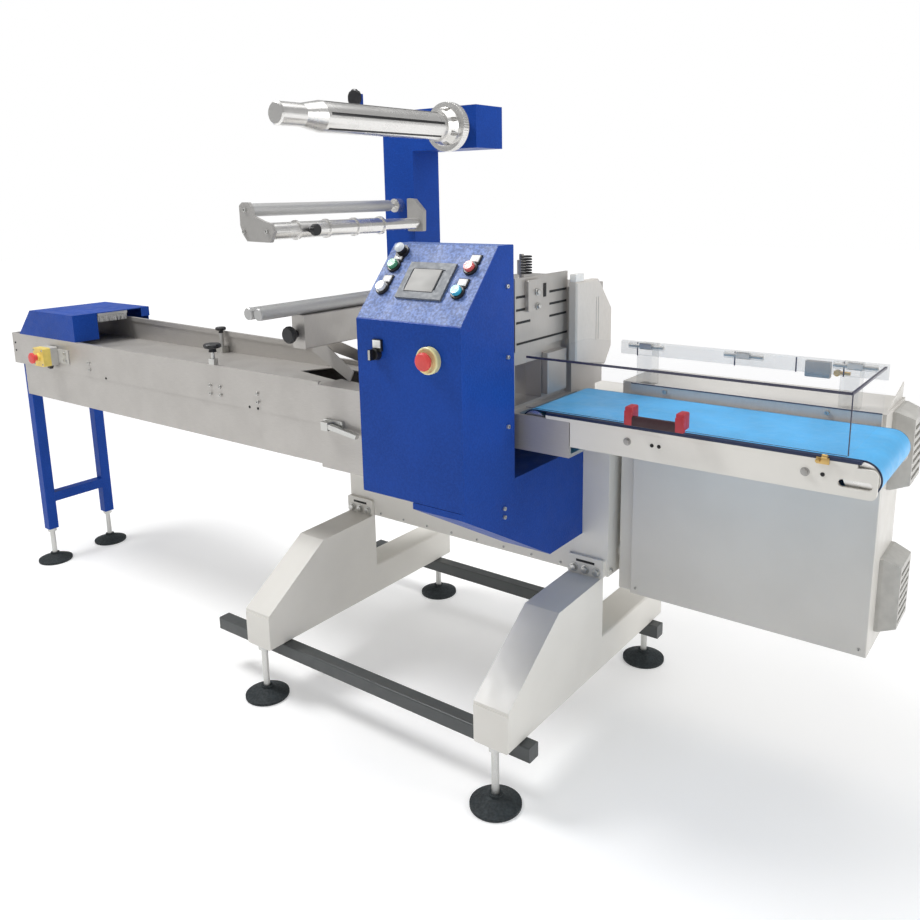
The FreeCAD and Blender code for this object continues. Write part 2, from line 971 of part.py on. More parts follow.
def roller_shafts():
    """Still shafts out of the column: one for the guide roller, one in each film rod."""
    disc_front = roller_rear + roller_bare
    shafts = [joined([
        rod(roller_disc_r, V(roller_x, disc_front, roller_z), ALONG_Y,
            column_front - disc_front),
        rod(roller_shaft_r, V(roller_x, roller_front, roller_z), ALONG_Y,
            column_front - roller_front),
    ])]
    for x in (rod_first_x, rod_second_x):
        shafts.append(rod(rod_shaft_r, V(x, rod_front + rod_blind, rod_z), ALONG_Y,
                          column_front - rod_front - rod_blind))
    return shafts


# ---- film arm and rods ------------------------------------------------------
def film_arm():
    arm = block(film_arm_left, film_arm_right, film_arm_front, column_front,
                film_arm_bottom, film_arm_top)
    return rounded(arm, 3, ALONG_Y)


def film_rod(x):
    body = rod(rod_r, V(x, rod_front + rod_cap, rod_z), ALONG_Y,
               column_front - seat - rod_front - rod_cap)
    cap = turned(
        [
            (0, 0),
            (rod_r - 2, 0),
            (rod_r, 2),
            (rod_r, rod_cap),
            (0, rod_cap),
        ],
        V(x, rod_front, rod_z),
        ALONG_Y,
    )
    bore = rod(rod_shaft_r + play, V(x, rod_front + rod_blind - 1, rod_z), ALONG_Y,
               column_front - rod_front)
    return joined([body, cap]).cut(bore)


# ---- console ----------------------------------------------------------------
def on_slope(across, up, out=0.0):
    """A point on the console's sloping face, from its lower left corner."""
    corner = V(console_left, console_front, slope_foot)
    return corner + ALONG_X * across + slope_up * up + slope_out * out


def slope_block(across, up, width, height, low, high):
    corners = [
        on_slope(across, up, low),
        on_slope(across + width, up, low),
        on_slope(across + width, up + height, low),
        on_slope(across, up + height, low),
    ]
    return prism(corners, slope_out * (high - low))


def console_box():
    outline = [
        (console_front, console_bottom),
        (console_rear, console_bottom),
        (console_rear, console_top),
        (slope_head, console_top),
        (console_front, slope_foot),
    ]
    box = rounded(along_x(outline, console_left, console_right), 3, ALONG_X)
    cutters = []
    for across, up in button_places.values():
        cutters.append(rod(button_r - 2 + seat, on_slope(across, up, 1), -slope_out, 12))
    bore = rod(stop_bore_r, estop_face - ALONG_Y, ALONG_Y, 10)
    selector_bore = rod(selector_r - 4 + seat, selector_face - ALONG_Y, ALONG_Y, 10)
    return box.cut(cutters + [bore, selector_bore])


def console_arm():
    outline = [
        (console_front, console_arm_nose),
        (console_arm_bend_y, console_arm_bottom),
        (body_front, console_arm_bottom),
        (body_front, console_arm_top),
        (console_rear, console_arm_top),
        (console_rear, console_bottom),
        (console_front, console_bottom),
    ]
    return along_x(outline, console_arm_left, console_right)


def touch_screen():
    frame = slope_block(screen_left, screen_foot, screen_width, screen_height, 0, screen_stand)
    glass = slope_block(screen_left + screen_border, screen_foot + 1.5 * screen_border,
                        screen_width - 2.4 * screen_border, screen_height - 2.8 * screen_border,
                        screen_stand - screen_glass, screen_stand + 1)
    return frame.cut(glass)


def button_collars():
    collars = []
    for across, up in button_places.values():
        profile = [
            (button_r - 2 + seat, 0),
            (button_collar_r, 0),
            (button_collar_r, button_collar_h - 2),
            (button_collar_r - 2, button_collar_h),
            (button_r - 2 + seat, button_collar_h),
        ]
        collars.append(turned(profile, on_slope(across, up), slope_out))
    lamp = turned(
        [
            (0, 0),
            (button_collar_r, 0),
            (button_collar_r, button_collar_h),
            (button_r - 2, button_collar_h),
            (button_r - 2, button_h),
            (button_r - 5, button_h + 2),
            (0, button_h + 2),
        ],
        on_slope(*lamp_place),
        slope_out,
    )
    collars.append(lamp)
    return collars


def push_button(across, up):
    top = button_h
    profile = [
        (0, -5),
        (button_r - 2, -5),
        (button_r - 2, top - 2),
        (button_r - 3, top),
        (0, top),
    ]
    return turned(profile, on_slope(across, up), slope_out)


def selector_switch():
    stem = rod(selector_r - 4, selector_face + ALONG_Y * 6, -ALONG_Y, 8)
    dial = turned(
        [
            (0, seat),
            (selector_r + 2, seat),
            (selector_r, selector_h - 8),
            (selector_r - 1, selector_h - 6),
            (0, selector_h - 6),
        ],
        selector_face,
        -ALONG_Y,
    )
    grip = centred(selector_face.x, console_front - selector_h + 2, selector_face.z,
                   8, 16, 2 * selector_r - 2)
    return joined([stem, dial, grip])


# ---- sealing head -----------------------------------------------------------
def head_housing():
    box = block(head_left, head_face - head_sheet, head_front, head_rear,
                trough_top, head_top - 10)
    tunnel = block(head_left - 1, head_face, tunnel_front, tunnel_rear,
                   trough_top + 8, tunnel_top)
    gearbox = block(head_left, gear_right - gear_cover_depth, head_rear, gear_rear - 12,
                    trough_top, gear_head - 14)
    foot = block(head_left, gear_right - gear_cover_depth - 20, body_front + 2, gear_rear - 12,
                 body_top, trough_top + 1)
    return joined([box.cut(tunnel), gearbox, foot])


def head_plate():
    face = head_face
    back = face - head_sheet
    plate = block(back, face, head_front, head_rear, head_sill, head_top)
    cutters = []
    for k in range(3):
        z = slot_first + k * slot_pitch
        cutters.append(block(back - 1, face + 1, head_front + 4, -184, z, z + slot_height))
        cutters.append(block(back - 1, face + 1, -98, head_rear - 4, z, z + slot_height))
    return plate.cut(cutters)


def gear_cover():
    outline = [
        (gear_front, gear_foot + 31),
        (gear_front, gear_head),
        (gear_rear - 74, gear_head),
        (gear_rear, gear_head - 82),
        (gear_rear, gear_head - 187),
        (gear_rear - 34, gear_foot),
        (gear_front + 20, gear_foot + 24),
    ]
    cover = along_x(outline, gear_right - gear_cover_depth, gear_right)
    rim = [edge for edge in cover.Edges
           if abs(edge.CenterOfMass.x - gear_right) < 1e-6]
    return cover.makeChamfer(4, rim)


def head_fittings():
    bracket = rounded(block(head_face, head_face + 10, -208, -150, 1176, 1250), 4, ALONG_X)
    post = joined([
        rod(6, V(head_face - 24, -185, head_top - 10), ALONG_Z, 62),
        rod(11, V(head_face - 24, -185, head_top + 4), ALONG_Z, 34),
    ])
    guide_block = block(head_face - head_sheet, head_face + 12, tunnel_rear + 2, -32,
                        trough_top + 16, head_sill - 20)
    guide_block = rounded(guide_block, 3, ALONG_Z)
    return [bracket, post, guide_block]


# ---- discharge conveyor -----------------------------------------------------
def discharge_frame():
    plates = []
    for y in (housing_front, discharge_rear):
        plate = block(frame_left, frame_right, y, y + frame_plate, frame_bottom, frame_top)
        plate = plate.makeFillet(frame_nose_r, [
            edge for edge in plate.Edges
            if abs(edge.CenterOfMass.x - frame_right) < 1e-6
            and edge.tangentAt(edge.FirstParameter).cross(ALONG_Y).Length < 1e-6
        ])
        r = tension_height / 2
        slot = joined([
            block(tension_left + r, tension_right - r, y - 1, y + frame_plate + 1,
                  tension_z - r, tension_z + r),
            rod(r, V(tension_left + r, y - 1, tension_z), ALONG_Y, frame_plate + 2),
            rod(r, V(tension_right - r, y - 1, tension_z), ALONG_Y, frame_plate + 2),
        ])
        plates.append(plate.cut(slot))
    slider = block(belt_start_x + belt_bend_r, belt_end_x - belt_bend_r,
                   housing_front + frame_plate, discharge_rear,
                   belt_top - belt_sheet - slider_sheet, belt_top - belt_sheet)
    ribs = []
    for x in (620.0, 840.0, 1060.0):
        ribs.append(block(x, x + 30, housing_front + frame_plate, discharge_rear,
                          frame_top - 30, belt_top - belt_sheet - slider_sheet + 1))
    return joined(plates + [slider] + ribs)


def belt_outline(radius, y0, y1):
    """A round-ended loop about the two conveyor rollers."""
    low = belt_axis_z - radius
    high = belt_axis_z + radius
    run = block(belt_start_x, belt_end_x, y0, y1, low, high)
    ends = [
        rod(radius, V(x, y0, belt_axis_z), ALONG_Y, y1 - y0)
        for x in (belt_start_x, belt_end_x)
    ]
    return joined([run] + ends)


def discharge_belt():
    outer = belt_outline(belt_bend_r, belt_front, belt_rear)
    inner = belt_outline(belt_bend_r - belt_sheet, belt_front - 1, belt_rear + 1)
    return outer.cut(inner)


def discharge_rollers():
    rollers = []
    for x in (belt_start_x, belt_end_x):
        drum = rod(belt_bend_r - belt_sheet - seat, V(x, belt_front, belt_axis_z),
                   ALONG_Y, belt_rear - belt_front)
        shaft = rod(roller_shaft, V(x, housing_front + frame_plate, belt_axis_z),
                    ALONG_Y, discharge_rear - housing_front - frame_plate)
        rollers.append(joined([drum, shaft]))
    return rollers


def discharge_rail():
    rear = discharge_rear + frame_plate
    return block(frame_left + 8, rail_right, rear, rear + rail_sheet, rail_foot, rail_top)


# ---- clear cover ------------------------------------------------------------
def discharge_cover():
    sheet = cover_sheet
    shell = block(cover_left, cover_right, cover_front, cover_rear, cover_bottom, cover_top)
    hollow = block(cover_left - 1, cover_right - sheet, cover_front + sheet, cover_rear + 1,
                   cover_bottom - 1, cover_top - sheet)
    return shell.cut(hollow)


def cover_handle():
    low = handle_z - handle_height / 2
    high = handle_z + handle_height / 2
    front = cover_front
    outline = [
        (front, low),
        (front, low + 10),
        (front - handle_reach + 12, low + 10),
        (front - handle_reach + 12, high - 6),
        (front - handle_reach + 6, high),
        (front - handle_reach, high - 6),
        (front - handle_reach, low + 8),
        (front - handle_reach + 8, low),
    ]
    return along_x(outline, handle_left, handle_right)


def hinge_leaves():
    """Moving leaves: a barrel with the pin, seated on the cover's rear edge."""
    leaves = []
    for x in hinge_places:
        barrel = rod(hinge_barrel_r, V(x, hinge_y, hinge_z), ALONG_X, hinge_length)
        pin = rod(hinge_pin_r, V(x - hinge_length, hinge_y, hinge_z), ALONG_X,
                  3 * hinge_length)
        leaf = block(x, x + hinge_length, cover_rear, hinge_y, hinge_z - 4, cover_top)
        leaves.append(joined([barrel, pin, leaf]))
    return leaves


def cover_rail():
    """The strip that carries the fixed knuckles, on posts that stand on the cabinet."""
    strip = block(hinge_places[0] - 60, cover_right, cover_stand_y, cover_stand_y + 8,
                  cover_top - 34, cover_top)
    pieces = [strip]
    for x in hinge_places:
        for start in (x - hinge_length, x + hinge_length):
            barrel = rod(hinge_barrel_r, V(start + seat, hinge_y, hinge_z), ALONG_X,
                         hinge_length - 2 * seat)
            web = block(start + seat, start + hinge_length - seat, hinge_y, cover_stand_y + 1,
                        hinge_z - 4, hinge_z + 4)
            bore = rod(hinge_pin_r + play, V(start - 1, hinge_y, hinge_z), ALONG_X,
                       hinge_length + 2)
            pieces.append(joined([barrel, web]).cut(bore))
    for x in (hinge_places[0], hinge_places[-1]):
        post = block(x - 20, x + 20, cover_stand_y + 8, cabinet_front + 20,
                     cabinet_top, cover_top - 8)
        pieces.append(post)
    return joined(pieces)


# ---- cabinet ----------------------------------------------------------------
def cabinet():
    box = block(cabinet_left, cabinet_right, cabinet_front, cabinet_rear,
                cabinet_bottom, cabinet_top)
    box = rounded(box, 3, ALONG_Z)
    bosses = []
    for y in (cabinet_front + 40, cabinet_rear - 40):
        for z in (body_bottom + 60, body_top - 60):
            bosses.append(rod(boss_r, V(side_right, y, z), ALONG_X, cabinet_left - side_right + 1))
    return joined([box] + bosses)


def cabinet_panel():
    panel = block(panel_left, cabinet_right, cabinet_front - panel_sheet, cabinet_front,
                  cabinet_bottom, cabinet_top)
    return rounded(panel, 3, ALONG_Z)


def filter_fan(low):
    """A square louvred fan guard with bevelled sides."""
    high = low + fan_height
    front = fan_front
    rear = fan_front + fan_side
    base = block(cabinet_right, cabinet_right + 8, front, rear, low, high)
    shoulder = Part.makeLoft([
        Part.makePolygon([V(cabinet_right + 8, y, z) for y, z in (
            (front, low), (rear, low), (rear, high), (front, high), (front, low))]),
        Part.makePolygon([V(cabinet_right + fan_depth, y, z) for y, z in (
            (front + 8, low + 14), (rear - 8, low + 14), (rear - 8, high - 14),
            (front + 8, high - 14), (front + 8, low + 14))]),
    ], True)
    slots = []
    pitch = (fan_height - 44) / fan_louvres
    for k in range(fan_louvres):
        z = low + 24 + k * pitch
        slot = block(cabinet_right + fan_depth - 12, cabinet_right + fan_depth + 1,
                     front + 16, rear - 16, z, z + pitch * 0.5)
        slots.append(slot)
    return joined([base, shoulder]).cut(slots)


def filter_fans():
    return [filter_fan(fan_low), filter_fan(fan_high)]


# ---- assembly ---------------------------------------------------------------
def all_nodes():
    nodes = {
        "leg_frame_left": [leg_frame(beam_left_x)],
        "leg_frame_right": [leg_frame(beam_right_x)],
        "tie_bars": tie_bars(),
        "foot_pads": foot_pads(),
        "foot_stems": foot_stems(),
        "machine_body": [machine_body()],
        "body_side_plate": [body_side_plate()],
        "body_brackets": body_brackets(),
        "infeed_legs": [infeed_legs()],
        "infeed_trough": [infeed_trough()],
        "infeed_skirt": [infeed_skirt()],
        "infeed_guide": [infeed_guide()],
        "infeed_hood": [infeed_hood()],
        "hood_brush": [hood_brush()],
        "guide_clamps": guide_clamps(),
        "hand_knobs": hand_knobs(),
        "stop_box": [stop_box()],
        "stop_box_lid": [stop_box_lid()],
        "stop_box_button": [mushroom_button(stop_face, -ALONG_Y)],
        "forming_housing": [forming_housing()],
        "former_plates": former_plates(),
        "toggle_latch": [toggle_latch()],
        "film_stand": [film_stand()],
        "film_spindle": [film_spindle()],
        "spindle_flange": [spindle_flange()],
        "guide_roller": [guide_roller()],
        "tension_bar": [tension_bar()],
        "roller_plates": roller_plates(),
        "roller_shafts": roller_shafts(),
        "film_arm": [film_arm()],
        "film_rod_left": [film_rod(rod_first_x)],
        "film_rod_right": [film_rod(rod_second_x)],
        "console_box": [console_box()],
        "console_arm": [console_arm()],
        "touch_screen": [touch_screen()],
        "button_collars": button_collars(),
        "selector_switch": [selector_switch()],
        "estop_ring": [estop_ring()],
        "estop_button": [mushroom_button(estop_face, -ALONG_Y)],
        "head_housing": [head_housing()],
        "head_plate": [head_plate()],
        "gear_cover": [gear_cover()],
        "head_fittings": head_fittings(),
        "discharge_frame": [discharge_frame()],
        "discharge_belt": [discharge_belt()],
        "discharge_rollers": discharge_rollers(),
        "discharge_rail": [discharge_rail()],
        "discharge_cover": [discharge_cover()],
        "cover_handle": [cover_handle()],
        "hinge_leaves": hinge_leaves(),
        "cover_rail": [cover_rail()],
        "cabinet": [cabinet()],
        "cabinet_panel": [cabinet_panel()],
        "filter_fans": filter_fans(),
    }
    for colour, place in button_places.items():
        nodes["push_button_" + colour] = [push_button(*place)]
    return nodes


def middle_of(nodes):
    """The point on the floor under the middle of the whole machine."""
    box = FreeCAD.BoundBox()
    for solids in nodes.values():
        for solid in solids:
            box.add(solid.BoundBox)
    return V(box.Center.x, box.Center.y, box.ZMin)


def export(nodes):
    os.makedirs("parts", exist_ok=True)
    origin = middle_of(nodes)
    for name, solids in nodes.items():
        shape = solids[0] if len(solids) == 1 else Part.makeCompound(solids)
        shape.translate(-origin)
        shape.exportStep("parts/" + name + ".step")
    return origin


if __name__ == "__main__":
    export(all_nodes())
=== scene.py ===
"""Horizontal flow wrapper: finishes, fasteners, legends, brush and studio round its frame."""

import math
import random

import bmesh
import bpy
from mathutils import Matrix, Vector


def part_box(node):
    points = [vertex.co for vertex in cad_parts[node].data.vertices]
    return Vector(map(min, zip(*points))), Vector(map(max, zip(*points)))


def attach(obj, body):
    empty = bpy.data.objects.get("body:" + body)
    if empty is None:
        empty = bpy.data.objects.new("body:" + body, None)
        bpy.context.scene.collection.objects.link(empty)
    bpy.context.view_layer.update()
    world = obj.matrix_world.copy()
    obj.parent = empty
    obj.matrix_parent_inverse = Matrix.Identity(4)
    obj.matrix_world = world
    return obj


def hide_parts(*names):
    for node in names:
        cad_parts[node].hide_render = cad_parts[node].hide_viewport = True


bl_info = {
    "name": "Flow wrapper dressing",
    "version": (1, 0, 0),
    "blender": (4, 5, 0),
    "location": "View3D > Sidebar > Flow wrapper",
    "description": "Finishes, fasteners, legends and a studio for a horizontal flow wrapper",
    "category": "Object",
}

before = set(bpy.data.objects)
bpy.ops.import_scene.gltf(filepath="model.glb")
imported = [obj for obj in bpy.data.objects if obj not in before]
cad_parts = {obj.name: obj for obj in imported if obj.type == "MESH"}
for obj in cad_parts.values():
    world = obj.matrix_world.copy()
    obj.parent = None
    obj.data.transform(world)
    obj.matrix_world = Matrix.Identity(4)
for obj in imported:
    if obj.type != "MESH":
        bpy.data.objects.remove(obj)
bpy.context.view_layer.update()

MM = 0.001
UP = Vector((0, 0, 1))
RIGHT = Vector((1, 0, 0))
FRONT = Vector((0, -1, 0))
MACHINE = "machine"
FINISH_PREFIX = "wrapper_"
SMOOTH_ANGLE = math.radians(35)


# ---- reading the frame ------------------------------------------------------
class Span:
    """A CAD node's box at rest, in millimetres."""

    def __init__(self, node):
        low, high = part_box(node)
        self.left, self.front, self.bottom = low / MM
        self.right, self.rear, self.top = high / MM
        self.x, self.y, self.z = (low + high) / (2 * MM)


# ---- modelling --------------------------------------------------------------
class Shape:
    """One piece in the making, in millimetres. Each form that is added brings its own finish."""

    def __init__(self):
        self.mesh = bmesh.new()
        self.finishes = []

    def add(self, form, finish):
        if finish not in self.finishes:
            self.finishes.append(finish)
        bmesh.ops.recalc_face_normals(form, faces=form.faces)
        for face in form.faces:
            face.material_index = self.finishes.index(finish)
        passing = bpy.data.meshes.new("form")
        form.to_mesh(passing)
        self.mesh.from_mesh(passing)
        bpy.data.meshes.remove(passing)
        form.free()

    def block(self, low, high, finish, bevel=0.0, turn=None):
        """A box between two corners, its edges rounded by bevel."""
        low = Vector(low)
        high = Vector(high)
        form = bmesh.new()
        bmesh.ops.create_cube(form, size=1)
        bmesh.ops.scale(form, vec=high - low, verts=form.verts)
        soften(form, form.edges, bevel)
        place(form, (low + high) / 2, turn)
        self.add(form, finish)

    def drum(self, foot, axis, radius, length, finish, bevel=0.0, top=None, sides=24):
        """A cylinder or cone that stands on foot along axis; bevel rounds its far rim."""
        form = bmesh.new()
        bmesh.ops.create_cone(
            form,
            cap_ends=True,
            segments=sides,
            radius1=radius,
            radius2=radius if top is None else top,
            depth=length,
        )
        bmesh.ops.translate(form, vec=(0, 0, length / 2), verts=form.verts)
        if bevel:
            rim = [e for e in form.edges if min(v.co.z for v in e.verts) > length * 0.99]
            soften(form, rim, bevel)
        place(form, Vector(foot), upright(axis))
        self.add(form, finish)

    def spun(self, profile, foot, axis, finish, steps=32):
        """A (radius, height) profile turned round axis; its ends lie on the axis or make a ring."""
        form = bmesh.new()
        points = [form.verts.new((radius, 0, height)) for radius, height in profile]
        edges = [form.edges.new(pair) for pair in zip(points, points[1:])]
        closed = profile[0][0] > 0 and profile[-1][0] > 0
        if closed:
            edges.append(form.edges.new((points[-1], points[0])))
        bmesh.ops.spin(
            form,
            geom=points + edges,
            cent=(0, 0, 0),
            axis=(0, 0, 1),
            angle=math.tau,
            steps=steps,
            use_merge=True,
        )
        bmesh.ops.remove_doubles(form, verts=form.verts, dist=0.001)
        place(form, Vector(foot), upright(axis))
        self.add(form, finish)

    def sheet(self, outline, depth, origin, across, along, finish, bevel=0.0):
        """A flat outline in the plane of two directions, thickened by depth along their normal."""
        form = bmesh.new()
        corners = [
            form.verts.new(Vector(origin) + across * a + along * b) for a, b in outline
        ]
        face = form.faces.new(corners)
        push = across.cross(along).normalized() * depth
        grown = bmesh.ops.extrude_face_region(form, geom=[face])["geom"]
        moved = [part for part in grown if isinstance(part, bmesh.types.BMVert)]
        bmesh.ops.translate(form, vec=push, verts=moved)
        soften(form, form.edges, bevel)
        self.add(form, finish)

    def cap_screw(self, seat, axis, radius, finish, height=None):
        """A socket head: a drum with a rounded rim and a six-sided recess."""
        height = radius * 1.1 if height is None else height
        form = bmesh.new()
        bmesh.ops.create_cone(
            form, cap_ends=True, segments=24, radius1=radius, radius2=radius, depth=height
        )
        bmesh.ops.translate(form, vec=(0, 0, height / 2), verts=form.verts)
        rim = [e for e in form.edges if min(v.co.z for v in e.verts) > height * 0.99]
        soften(form, rim, radius * 0.15)
        crown = max(form.faces, key=lambda face: face.calc_center_median().z)
        bmesh.ops.inset_region(form, faces=[crown], thickness=radius * 0.4)
        recess = bmesh.ops.extrude_face_region(form, geom=[crown])["geom"]
        sunk = [part for part in recess if isinstance(part, bmesh.types.BMVert)]
        bmesh.ops.translate(form, vec=(0, 0, -height * 0.55), verts=sunk)
        bmesh.ops.delete(form, geom=[crown], context="FACES_ONLY")
        place(form, Vector(seat), upright(axis))
        self.add(form, finish)

    def hex_bolt(self, seat, axis, radius, finish, washer=True):
        """A hexagon head on its washer."""
        rise = 0.0
        if washer:
            rise = radius * 0.2
            self.drum(seat, axis, radius * 1.35, rise, finish, bevel=rise * 0.4)
        foot = Vector(seat) + Vector(axis).normalized() * rise
        self.drum(foot, axis, radius, radius * 0.75, finish, bevel=radius * 0.12, sides=6)

    def pan_screw(self, seat, axis, radius, finish):
        """A low domed head with a cross recess, drawn as a raised near-black cross of painted shade."""
        profile = [(radius, 0), (radius * 0.95, radius * 0.25), (radius * 0.7, radius * 0.45)]
        profile += [(radius * 0.35, radius * 0.56), (0, radius * 0.6)]
        self.spun(profile, seat, axis, finish, steps=16)
        lift = Vector(seat) + Vector(axis).normalized() * radius * 0.42
        turn = upright(axis)
        # The cross recess is not cut: two near-black bars stand for the shade inside it.
        for size in ((1.1, 0.24), (0.24, 1.1)):
            reach = Vector((size[0], size[1], 0.36)) * radius / 2
            form = bmesh.new()
            bmesh.ops.create_cube(form, size=2)
            bmesh.ops.scale(form, vec=reach, verts=form.verts)
            place(form, lift, turn)
            self.add(form, "recess")

    def piece(self, name, body):
        """Hands the finished piece to a body of the frame."""
        bmesh.ops.scale(self.mesh, vec=(MM, MM, MM), verts=self.mesh.verts)
        mesh = bpy.data.meshes.new(name)
        self.mesh.to_mesh(mesh)
        self.mesh.free()
        for finish in self.finishes:
            mesh.materials.append(bpy.data.materials[FINISH_PREFIX + finish])
        mesh.shade_smooth()
        mesh.set_sharp_from_angle(angle=SMOOTH_ANGLE)
        made = bpy.data.objects.new(name, mesh)
        bpy.context.scene.collection.objects.link(made)
        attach(made, body)
        return made


def soften(form, edges, radius):
    if radius:
        bmesh.ops.bevel(
            form,
            geom=list(edges),
            offset=radius,
            offset_type="OFFSET",
            segments=2,
            profile=0.5,
            affect="EDGES",
            clamp_overlap=True,
            material=-1,
        )


def upright(axis):
    """The turn that brings +Z on to axis."""
    return UP.rotation_difference(Vector(axis)).to_matrix()


def place(form, where, turn=None):
    spot = Matrix.Translation(where)
    if turn is not None:
        spot = spot @ turn.to_4x4()
    bmesh.ops.transform(form, matrix=spot, verts=form.verts)


# ---- finishes ---------------------------------------------------------------
class Recipe:
    """One material: a principled shader fed by patterns that lie on the object's own coordinates."""

    def __init__(self, name, colour, roughness, metallic=0.0):
        self.material = bpy.data.materials.new(FINISH_PREFIX + name)
        self.material.use_nodes = True
        tree = self.material.node_tree
        self.nodes = tree.nodes
        self.links = tree.links
        self.shader = self.nodes["Principled BSDF"]
        self.colour = tuple(colour)
        self.set("Base Color", (*self.colour, 1.0))
        self.set("Roughness", roughness)
        self.set("Metallic", metallic)
        self.place = self.nodes.new("ShaderNodeTexCoord").outputs["Object"]
        self.height = None

    def set(self, socket, value):
        self.shader.inputs[socket].default_value = value

    def drawn(self, stretch):
        """Object coordinates squeezed, so that a pattern on them runs long where stretch is over 1."""
        node = self.nodes.new("ShaderNodeMapping")
        node.inputs["Scale"].default_value = [1 / s for s in stretch]
        self.links.new(self.place, node.inputs["Vector"])
        return node.outputs["Vector"]

    def grain(self, size, detail=2.0, stretch=(1, 1, 1)):
        """Soft noise with patches of about size millimetres."""
        node = self.nodes.new("ShaderNodeTexNoise")
        node.inputs["Scale"].default_value = 1 / (size * MM)
        node.inputs["Detail"].default_value = detail
        self.links.new(self.drawn(stretch), node.inputs["Vector"])
        return node.outputs["Fac"]

    def cells(self, size, spread=1.0):
        """Rounded cells of about size millimetres."""
        node = self.nodes.new("ShaderNodeTexVoronoi")
        node.feature = "SMOOTH_F1"
        node.inputs["Scale"].default_value = 1 / (size * MM)
        node.inputs["Randomness"].default_value = spread
        self.links.new(self.place, node.inputs["Vector"])
        return node.outputs["Distance"]

    def along(self, axis):
        """How far a point lies along one of the object's axes, in metres."""
        node = self.nodes.new("ShaderNodeSeparateXYZ")
        self.links.new(self.place, node.inputs["Vector"])
        return node.outputs[axis]

    def between(self, value, low, high, start=0.35, end=0.65):
        """Runs from low to high while value goes from start to end."""
        node = self.nodes.new("ShaderNodeMapRange")
        node.inputs["From Min"].default_value = start
        node.inputs["From Max"].default_value = end
        node.inputs["To Min"].default_value = low
        node.inputs["To Max"].default_value = high
        self.links.new(value, node.inputs["Value"])
        return node.outputs["Result"]

    def mixed(self, factor, first, second):
        """Blends two colours, or a colour that is already made, by factor."""
        node = self.nodes.new("ShaderNodeMix")
        node.data_type = "RGBA"
        sockets = [s for s in node.inputs if s.type == "RGBA"]
        factors = [s for s in node.inputs if s.type == "VALUE" and s.enabled]
        self.links.new(factor, factors[0])
        for socket, value in zip(sockets, (first, second)):
            if isinstance(value, bpy.types.NodeSocket):
                self.links.new(value, socket)
            else:
                socket.default_value = (*value, 1.0)
        return [s for s in node.outputs if s.type == "RGBA"][0]

    def shade(self, amount):
        """The material's colour, darker or lighter by amount."""
        return tuple(max(0.0, min(1.0, c * amount)) for c in self.colour)

    def coloured(self, colour):
        self.links.new(colour, self.shader.inputs["Base Color"])

    def roughened(self, value, low, high, start=0.35, end=0.65):
        self.links.new(self.between(value, low, high, start, end), self.shader.inputs["Roughness"])

    def relief(self, height, depth):
        """Raises and sinks the surface by about depth millimetres."""
        node = self.nodes.new("ShaderNodeBump")
        node.inputs["Strength"].default_value = 1.0
        node.inputs["Distance"].default_value = depth * MM
        self.links.new(height, node.inputs["Height"])
        if self.height is not None:
            self.links.new(self.height, node.inputs["Normal"])
        self.height = node.outputs["Normal"]
        self.links.new(self.height, self.shader.inputs["Normal"])


def powder_coat(name, colour, size=1.4, darker_low=True):
    """Sprayed and baked paint: fine orange peel, slight clouds, darker towards the bottom."""
    paint = Recipe(name, colour, 0.42)
    paint.set("Coat Weight", 0.15)
    paint.set("Coat Roughness", 0.25)
    clouds = paint.mixed(paint.between(paint.grain(260, 4), 0, 1), paint.shade(0.94), paint.shade(1.03))
    if darker_low:
        # Darker towards the bottom: half way to a darker shade at the floor, fading out by half a metre up.
        low = paint.between(paint.along("Z"), 0.5, 0.0, 0.0, 0.5)
        clouds = paint.mixed(low, clouds, paint.shade(0.8))
    paint.coloured(clouds)
    paint.roughened(paint.grain(35, 3), 0.36, 0.5)
    paint.relief(paint.grain(size, 1), 0.05)
    return paint


def hammered_paint(name, colour, painted_sheen=None, above=0.0, left_of=0.0):
    """Blue hammered enamel: rounded flats and a fine sparkle. Above a height and left of a line it carries a painted
    sheen: a lighter flecked colour that stands for light reflected by the sloping face.
    """
    paint = Recipe(name, colour, 0.35)
    paint.set("Specular IOR Level", 0.12)
    cells = paint.cells(4.5)
    sparkle = paint.between(paint.grain(1.3, 1), 0, 1, 0.6, 0.8)
    clouds = paint.mixed(paint.between(paint.grain(180, 3), 0, 1), paint.shade(0.9), paint.shade(1.1))
    flats = paint.mixed(paint.between(cells, 0, 0.35, 0.2, 0.7), clouds, paint.shade(1.5))
    enamel = paint.mixed(sparkle, flats, paint.shade(1.8))
    # Painted sheen: above the given height and left of the given line, the enamel turns to a lighter flecked colour
    # that stands for reflected light.
    if painted_sheen:
        sheen_flecks = paint.mixed(
            paint.between(paint.grain(6.5, 3), 0, 1, 0.4, 0.62), [c * 0.72 for c in painted_sheen],
            [c * 1.35 for c in painted_sheen],
        )
        high = paint.between(paint.along("Z"), 0, 1, above, above + 0.002)
        inner = paint.between(paint.along("X"), 1, 0, left_of - 0.001, left_of)
        sheen_mask = paint.nodes.new("ShaderNodeMath")
        sheen_mask.operation = "MULTIPLY"
        paint.links.new(high, sheen_mask.inputs[0])
        paint.links.new(inner, sheen_mask.inputs[1])
        enamel = paint.mixed(sheen_mask.outputs["Value"], enamel, sheen_flecks)
    paint.coloured(enamel)
    paint.roughened(paint.grain(30, 3), 0.3, 0.42)
    paint.relief(cells, 0.22)
    return paint


